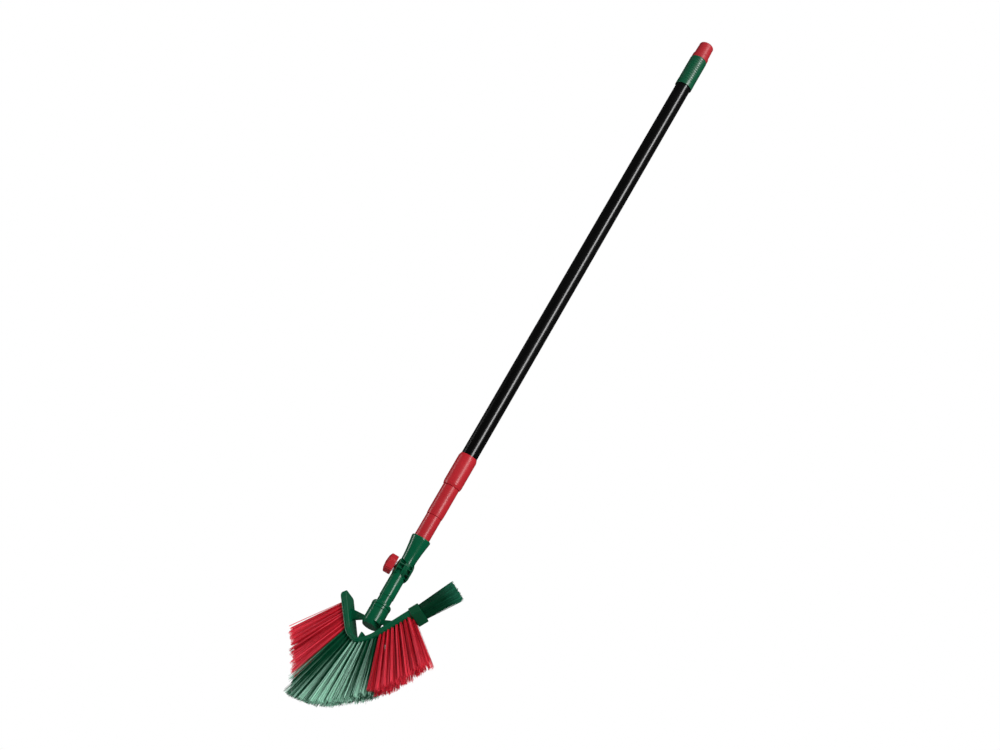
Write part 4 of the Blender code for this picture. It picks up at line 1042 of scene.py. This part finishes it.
# Shade along the green strip: partly the filaments' own pale and dark colour, partly a painted
# highlight in the middle.
SHADE_PLACES = np.array((-35, -22, -14, -5, 5, 24, 30, 36, 40)) * mm
SHADE_VALUES = (-0.60, -0.25, -0.05, 0.30, 0.48, 0.12, -0.25, -0.50, -0.50)
# Painted shade on the back rows, which lie behind the front ones.
BACK_ROWS_PAINTED_SHADE = -0.08
RED_SHADE = 0.20


def red_shade(along, across):
    """Give the red strips one even shade."""
    return np.full(along.shape, RED_SHADE)


def green_shade(along, across):
    """Be palest just right of the apex, partly as a painted highlight, and dark at both ends;
    give the back rows painted shade.
    """
    rows = np.where(across < 0, 0.0, BACK_ROWS_PAINTED_SHADE)
    return np.interp(along, SHADE_PLACES, SHADE_VALUES) + rows


print("green strip, in mm:", round((RIGHT_SPLIT - LEFT_SPLIT) / mm, 1))

# %% [markdown]
# ## Three tufted strips
#
# A red strip stands on either side of the green one, and all three are made by one
# function. They differ in how far a tuft spreads, how much painted light its core gets and
# how unevenly the tufts are cut. On the right the tufts stay tight, and gaps open between them.

# %% One tufted strip
STRAND_RADIUS = 0.33 * mm
BOW_NOISE = 0.8 * mm


def tufted_strip(name, start, end, spread, painted_core_light, trim_noise, shade_at, finish):
    """Fill a stretch of the band with tufts of strands."""
    along, across = (np.repeat(place, TUFT_STRANDS) for place in tuft_places(start, end))
    root, sideways, outwards = strand_roots(along, across)
    length = trimmed_lengths(root, trim_noise)
    direction = fanned_directions(root, along, sideways, outwards, spread)
    bow = chance.normal(0.0, BOW_NOISE, root.shape)
    bow[:, 2] = 0
    tone = chance.random(len(root))
    shade = strand_shades(along, across, sideways, painted_core_light, shade_at)
    return strands(
        name, root, direction, length, bow, STRAND_RADIUS, tone, shade, finish,
    )


left_tufts = tufted_strip(
    "left_tufts", LEFT_END, LEFT_SPLIT, spread=2.6, painted_core_light=0.12,
    trim_noise=0.8 * mm, shade_at=red_shade, finish=red_bristle,
)
middle_tufts = tufted_strip(
    "middle_tufts", LEFT_SPLIT, RIGHT_SPLIT, spread=2.4, painted_core_light=0.50,
    trim_noise=0.3 * mm, shade_at=green_shade, finish=green_bristle,
)
right_tufts = tufted_strip(
    "right_tufts", RIGHT_SPLIT, RIGHT_END, spread=1.2, painted_core_light=0.40,
    trim_noise=1.8 * mm, shade_at=red_shade, finish=red_bristle,
)
dress(left_tufts, "head", "red_bristle", "left_bristles")
dress(middle_tufts, "head", "pale_green_bristle", "middle_bristles")
dress(right_tufts, "head", "red_bristle", "right_bristles")

# %% [markdown]
# ## End brush
#
# The small brush on the longer arm's end reaches into corners. It could be tufts as well,
# but its filaments are packed into one block in the clip. So they start on a filled
# rectangle and lean only a little away from its middle.

# %% Roots of the end brush
CLIP_START = 98.0 * mm
CLIP_LENGTH = 16.8 * mm
BRUSH_HALF_WIDTH = 14.0 * mm
BRUSH_LOW = 0.6 * mm
BRUSH_HIGH = 9.8 * mm
BRUSH_STRANDS = 1500
BRUSH_ROOT_DEPTH = 1.6 * mm

point, tangent, normal = band_line(np.array(CLIP_START + CLIP_LENGTH))
across = chance.uniform(-BRUSH_HALF_WIDTH, BRUSH_HALF_WIDTH, BRUSH_STRANDS)
depth = chance.uniform(BRUSH_LOW, BRUSH_HIGH, BRUSH_STRANDS)
arm = np.array((tangent[0], 0.0, tangent[1]))
inwards = np.array((normal[0], 0.0, normal[1]))
sideways = np.array((0.0, 1.0, 0.0))
face = np.array((point[0], 0.0, point[1]))
middle_depth = (BRUSH_LOW + BRUSH_HIGH) / 2
root = face - arm * BRUSH_ROOT_DEPTH
root = root + across[:, None] * sideways + depth[:, None] * inwards
print("roots of the end brush:", len(root))

# %% Strands of the end brush
BRUSH_LENGTH = 61.0 * mm
BRUSH_SHORTER = 0.8 * mm
BRUSH_FAN_RADIUS = 110.0 * mm
BRUSH_ACROSS_SHARE = 0.5
BRUSH_DIRECTION_NOISE = 0.004
BRUSH_LENGTH_NOISE = 1.3 * mm
BRUSH_BOW_NOISE = 0.3 * mm
BRUSH_STRAND_RADIUS = 0.30 * mm
BRUSH_SHADE = -0.12
BRUSH_SHADE_NOISE = 0.20

# A strand leans by its distance from the block's middle / fan radius, and across the
# band by half of that.
lean = (across * BRUSH_ACROSS_SHARE)[:, None] * sideways
lean = lean + (depth - middle_depth)[:, None] * inwards
direction = chance.normal(0.0, BRUSH_DIRECTION_NOISE, root.shape)
direction = unit(arm + lean / BRUSH_FAN_RADIUS + direction)
length = chance.normal(0.0, BRUSH_LENGTH_NOISE, BRUSH_STRANDS)
length = BRUSH_LENGTH + BRUSH_ROOT_DEPTH + length - BRUSH_SHORTER
bow = chance.normal(0.0, BRUSH_BOW_NOISE, root.shape)
tone = chance.random(BRUSH_STRANDS)
shade = chance.normal(BRUSH_SHADE, BRUSH_SHADE_NOISE, BRUSH_STRANDS)
brush = strands(
    "end_brush_strands", root, direction, length, bow, BRUSH_STRAND_RADIUS, tone, shade,
    dark_bristle,
)
dress(brush, "head", "dark_green_bristle", "end_brush")

# %% [markdown]
# ## Studio
#
# Round gloss pieces are drawn by what they reflect. A tall, broad strip light to the right
# of the camera gives the pole and the collars their long clean streak. A narrow one on the
# left, level with the joint, lights that side of it, and a weak soft box hangs above. The
# lamps can't be seen themselves, only what they light and their reflections.

# %% Lights
def strip_light(name, place, target, size, power):
    """Add an upright strip of light that faces a target."""
    lamp = bpy.data.lights.new(name, "AREA")
    lamp.shape = "RECTANGLE"
    lamp.size, lamp.size_y = size
    lamp.energy = power
    item = bpy.data.objects.new(name, lamp)
    item.location = place
    facing = Vector(target) - Vector(place)
    item.rotation_euler = facing.to_track_quat("-Z", "Y").to_euler()
    item.visible_camera = False
    bpy.context.scene.collection.objects.link(item)


strip_light(
    "broad_strip", place=(0.94, -1.76, 0.40), target=(0, 0, 0.40), size=(0.58, 2.7), power=48,
)
strip_light(
    "narrow_strip", place=(-1.95, 0.22, -1.10), target=(0, 0, -1.10), size=(0.40, 1.10),
    power=9,
)
strip_light(
    "top_softbox", place=(0.20, -0.60, 1.60), target=(0, 0, -0.60), size=(1.20, 1.20), power=4,
)
print("lights:", len(bpy.data.lights))

# %% [markdown]
# ## White backdrop and floor
#
# The photograph's background is white. More light would bleach the broom, so the white
# comes from what the camera sees. The world answers camera rays with white, and rays that
# light or mirror with much less, so it only fills the shadows. The floor glows for the
# camera alone and is lit like any other surface, so it keeps a shadow.

# %% World
WORLD_FILL = 0.42
WORLD_MIRRORED = (0.01, 0.04)
WORLD_MIRRORED_FROM = (-0.1, 0.8)


def world_light():
    """White to the camera, dark to gloss, and weak to the rest.

    What gloss mirrors is darkest towards the camera and a little lighter behind the broom.
    """
    world = bpy.data.worlds.new("studio")
    bpy.context.scene.world = world
    world.use_nodes = True
    tree = world.node_tree
    background = tree.nodes["Background"]
    ray = tree.nodes.new("ShaderNodeLightPath")
    place = tree.nodes.new("ShaderNodeTexCoord")
    split = tree.nodes.new("ShaderNodeSeparateXYZ")
    tree.links.new(place.outputs["Generated"], split.inputs["Vector"])
    backdrop = ranged(tree, split.outputs["Y"], *WORLD_MIRRORED, *WORLD_MIRRORED_FROM)

    def chosen(which, value, other):
        """Use value for one kind of ray and other for the rest."""
        mix = tree.nodes.new("ShaderNodeMix")
        tree.links.new(ray.outputs[which], mix.inputs["Factor"])
        for socket, source in (("B", value), ("A", other)):
            if isinstance(source, float):
                mix.inputs[socket].default_value = source
            else:
                tree.links.new(source, mix.inputs[socket])
        return mix.outputs["Result"]

    strength = chosen("Is Glossy Ray", backdrop, WORLD_FILL)
    strength = chosen("Is Transmission Ray", 1.0, strength)
    strength = chosen("Is Camera Ray", 1.0, strength)
    tree.links.new(strength, background.inputs["Strength"])
    background.inputs["Color"].default_value = (1.0, 1.0, 1.0, 1.0)
    return world


world = world_light()
print("world:", world.name)

# %% Floor
FLOOR_HEIGHT = -2.65
FLOOR_REACH = 4.0
FLOOR_GLOW = 0.57
FLOOR_GREY = 0.80
FLOOR_MIRRORED_GREY = 0.15


def pale_floor():
    """Lay a pale floor that shows near white and still takes a shadow."""
    finish, tree, shader, _ = new_finish("pale_floor")
    shader.inputs["Roughness"].default_value = 0.9
    shader.inputs["Specular IOR Level"].default_value = 0.1
    shader.inputs["Emission Color"].default_value = (1.0, 1.0, 1.0, 1.0)
    ray = tree.nodes.new("ShaderNodeLightPath")
    glow = ranged(tree, ray.outputs["Is Camera Ray"], 0.0, FLOOR_GLOW, 0.0, 1.0)
    tree.links.new(glow, shader.inputs["Emission Strength"])
    greys = (FLOOR_GREY, FLOOR_MIRRORED_GREY)
    shown = ranged(tree, ray.outputs["Is Glossy Ray"], *greys, 0.0, 1.0)
    tree.links.new(shown, shader.inputs["Base Color"])
    corner = np.array([(-1, -1, 0), (1, -1, 0), (1, 1, 0), (-1, 1, 0)], float) * FLOOR_REACH
    mesh = bpy.data.meshes.new("floor")
    mesh.from_pydata((corner + (0, 0, FLOOR_HEIGHT)).tolist(), [], [(0, 1, 2, 3)])
    mesh.materials.append(finish)
    floor = bpy.data.objects.new("floor", mesh)
    bpy.context.scene.collection.objects.link(floor)
    return floor


floor = pale_floor()
print("floor:", floor.name, "at", FLOOR_HEIGHT, "m")

# %% [markdown]
# ## Camera
#
# The photograph looks slightly up at the broom, with the pole slanting across the
# picture. The camera's place and turn were found by fitting the pole and the head.

# %% Camera
CAMERA_PLACE = (-0.0217, -2.1115, -1.3298)
CAMERA_RIGHT = (0.8647, -0.1384, 0.4853)
CAMERA_UP = (-0.5023, -0.2383, 0.8299)
CAMERA_LENS = 47.7
CAMERA_SENSOR = 36
CAMERA_CLIP = 0.05

camera = bpy.data.objects.new("camera", bpy.data.cameras.new("camera"))
camera.data.lens = CAMERA_LENS
camera.data.sensor_width = CAMERA_SENSOR
camera.data.clip_start = CAMERA_CLIP
right = Vector(CAMERA_RIGHT).normalized()
back = right.cross(Vector(CAMERA_UP)).normalized()
turn = Matrix((right, back.cross(right), back)).transposed().to_4x4()
camera.matrix_world = Matrix.Translation(CAMERA_PLACE) @ turn
bpy.context.scene.collection.objects.link(camera)
bpy.context.scene.camera = camera
bpy.context.scene.view_settings.view_transform = "Standard"
print("camera lens:", camera.data.lens)
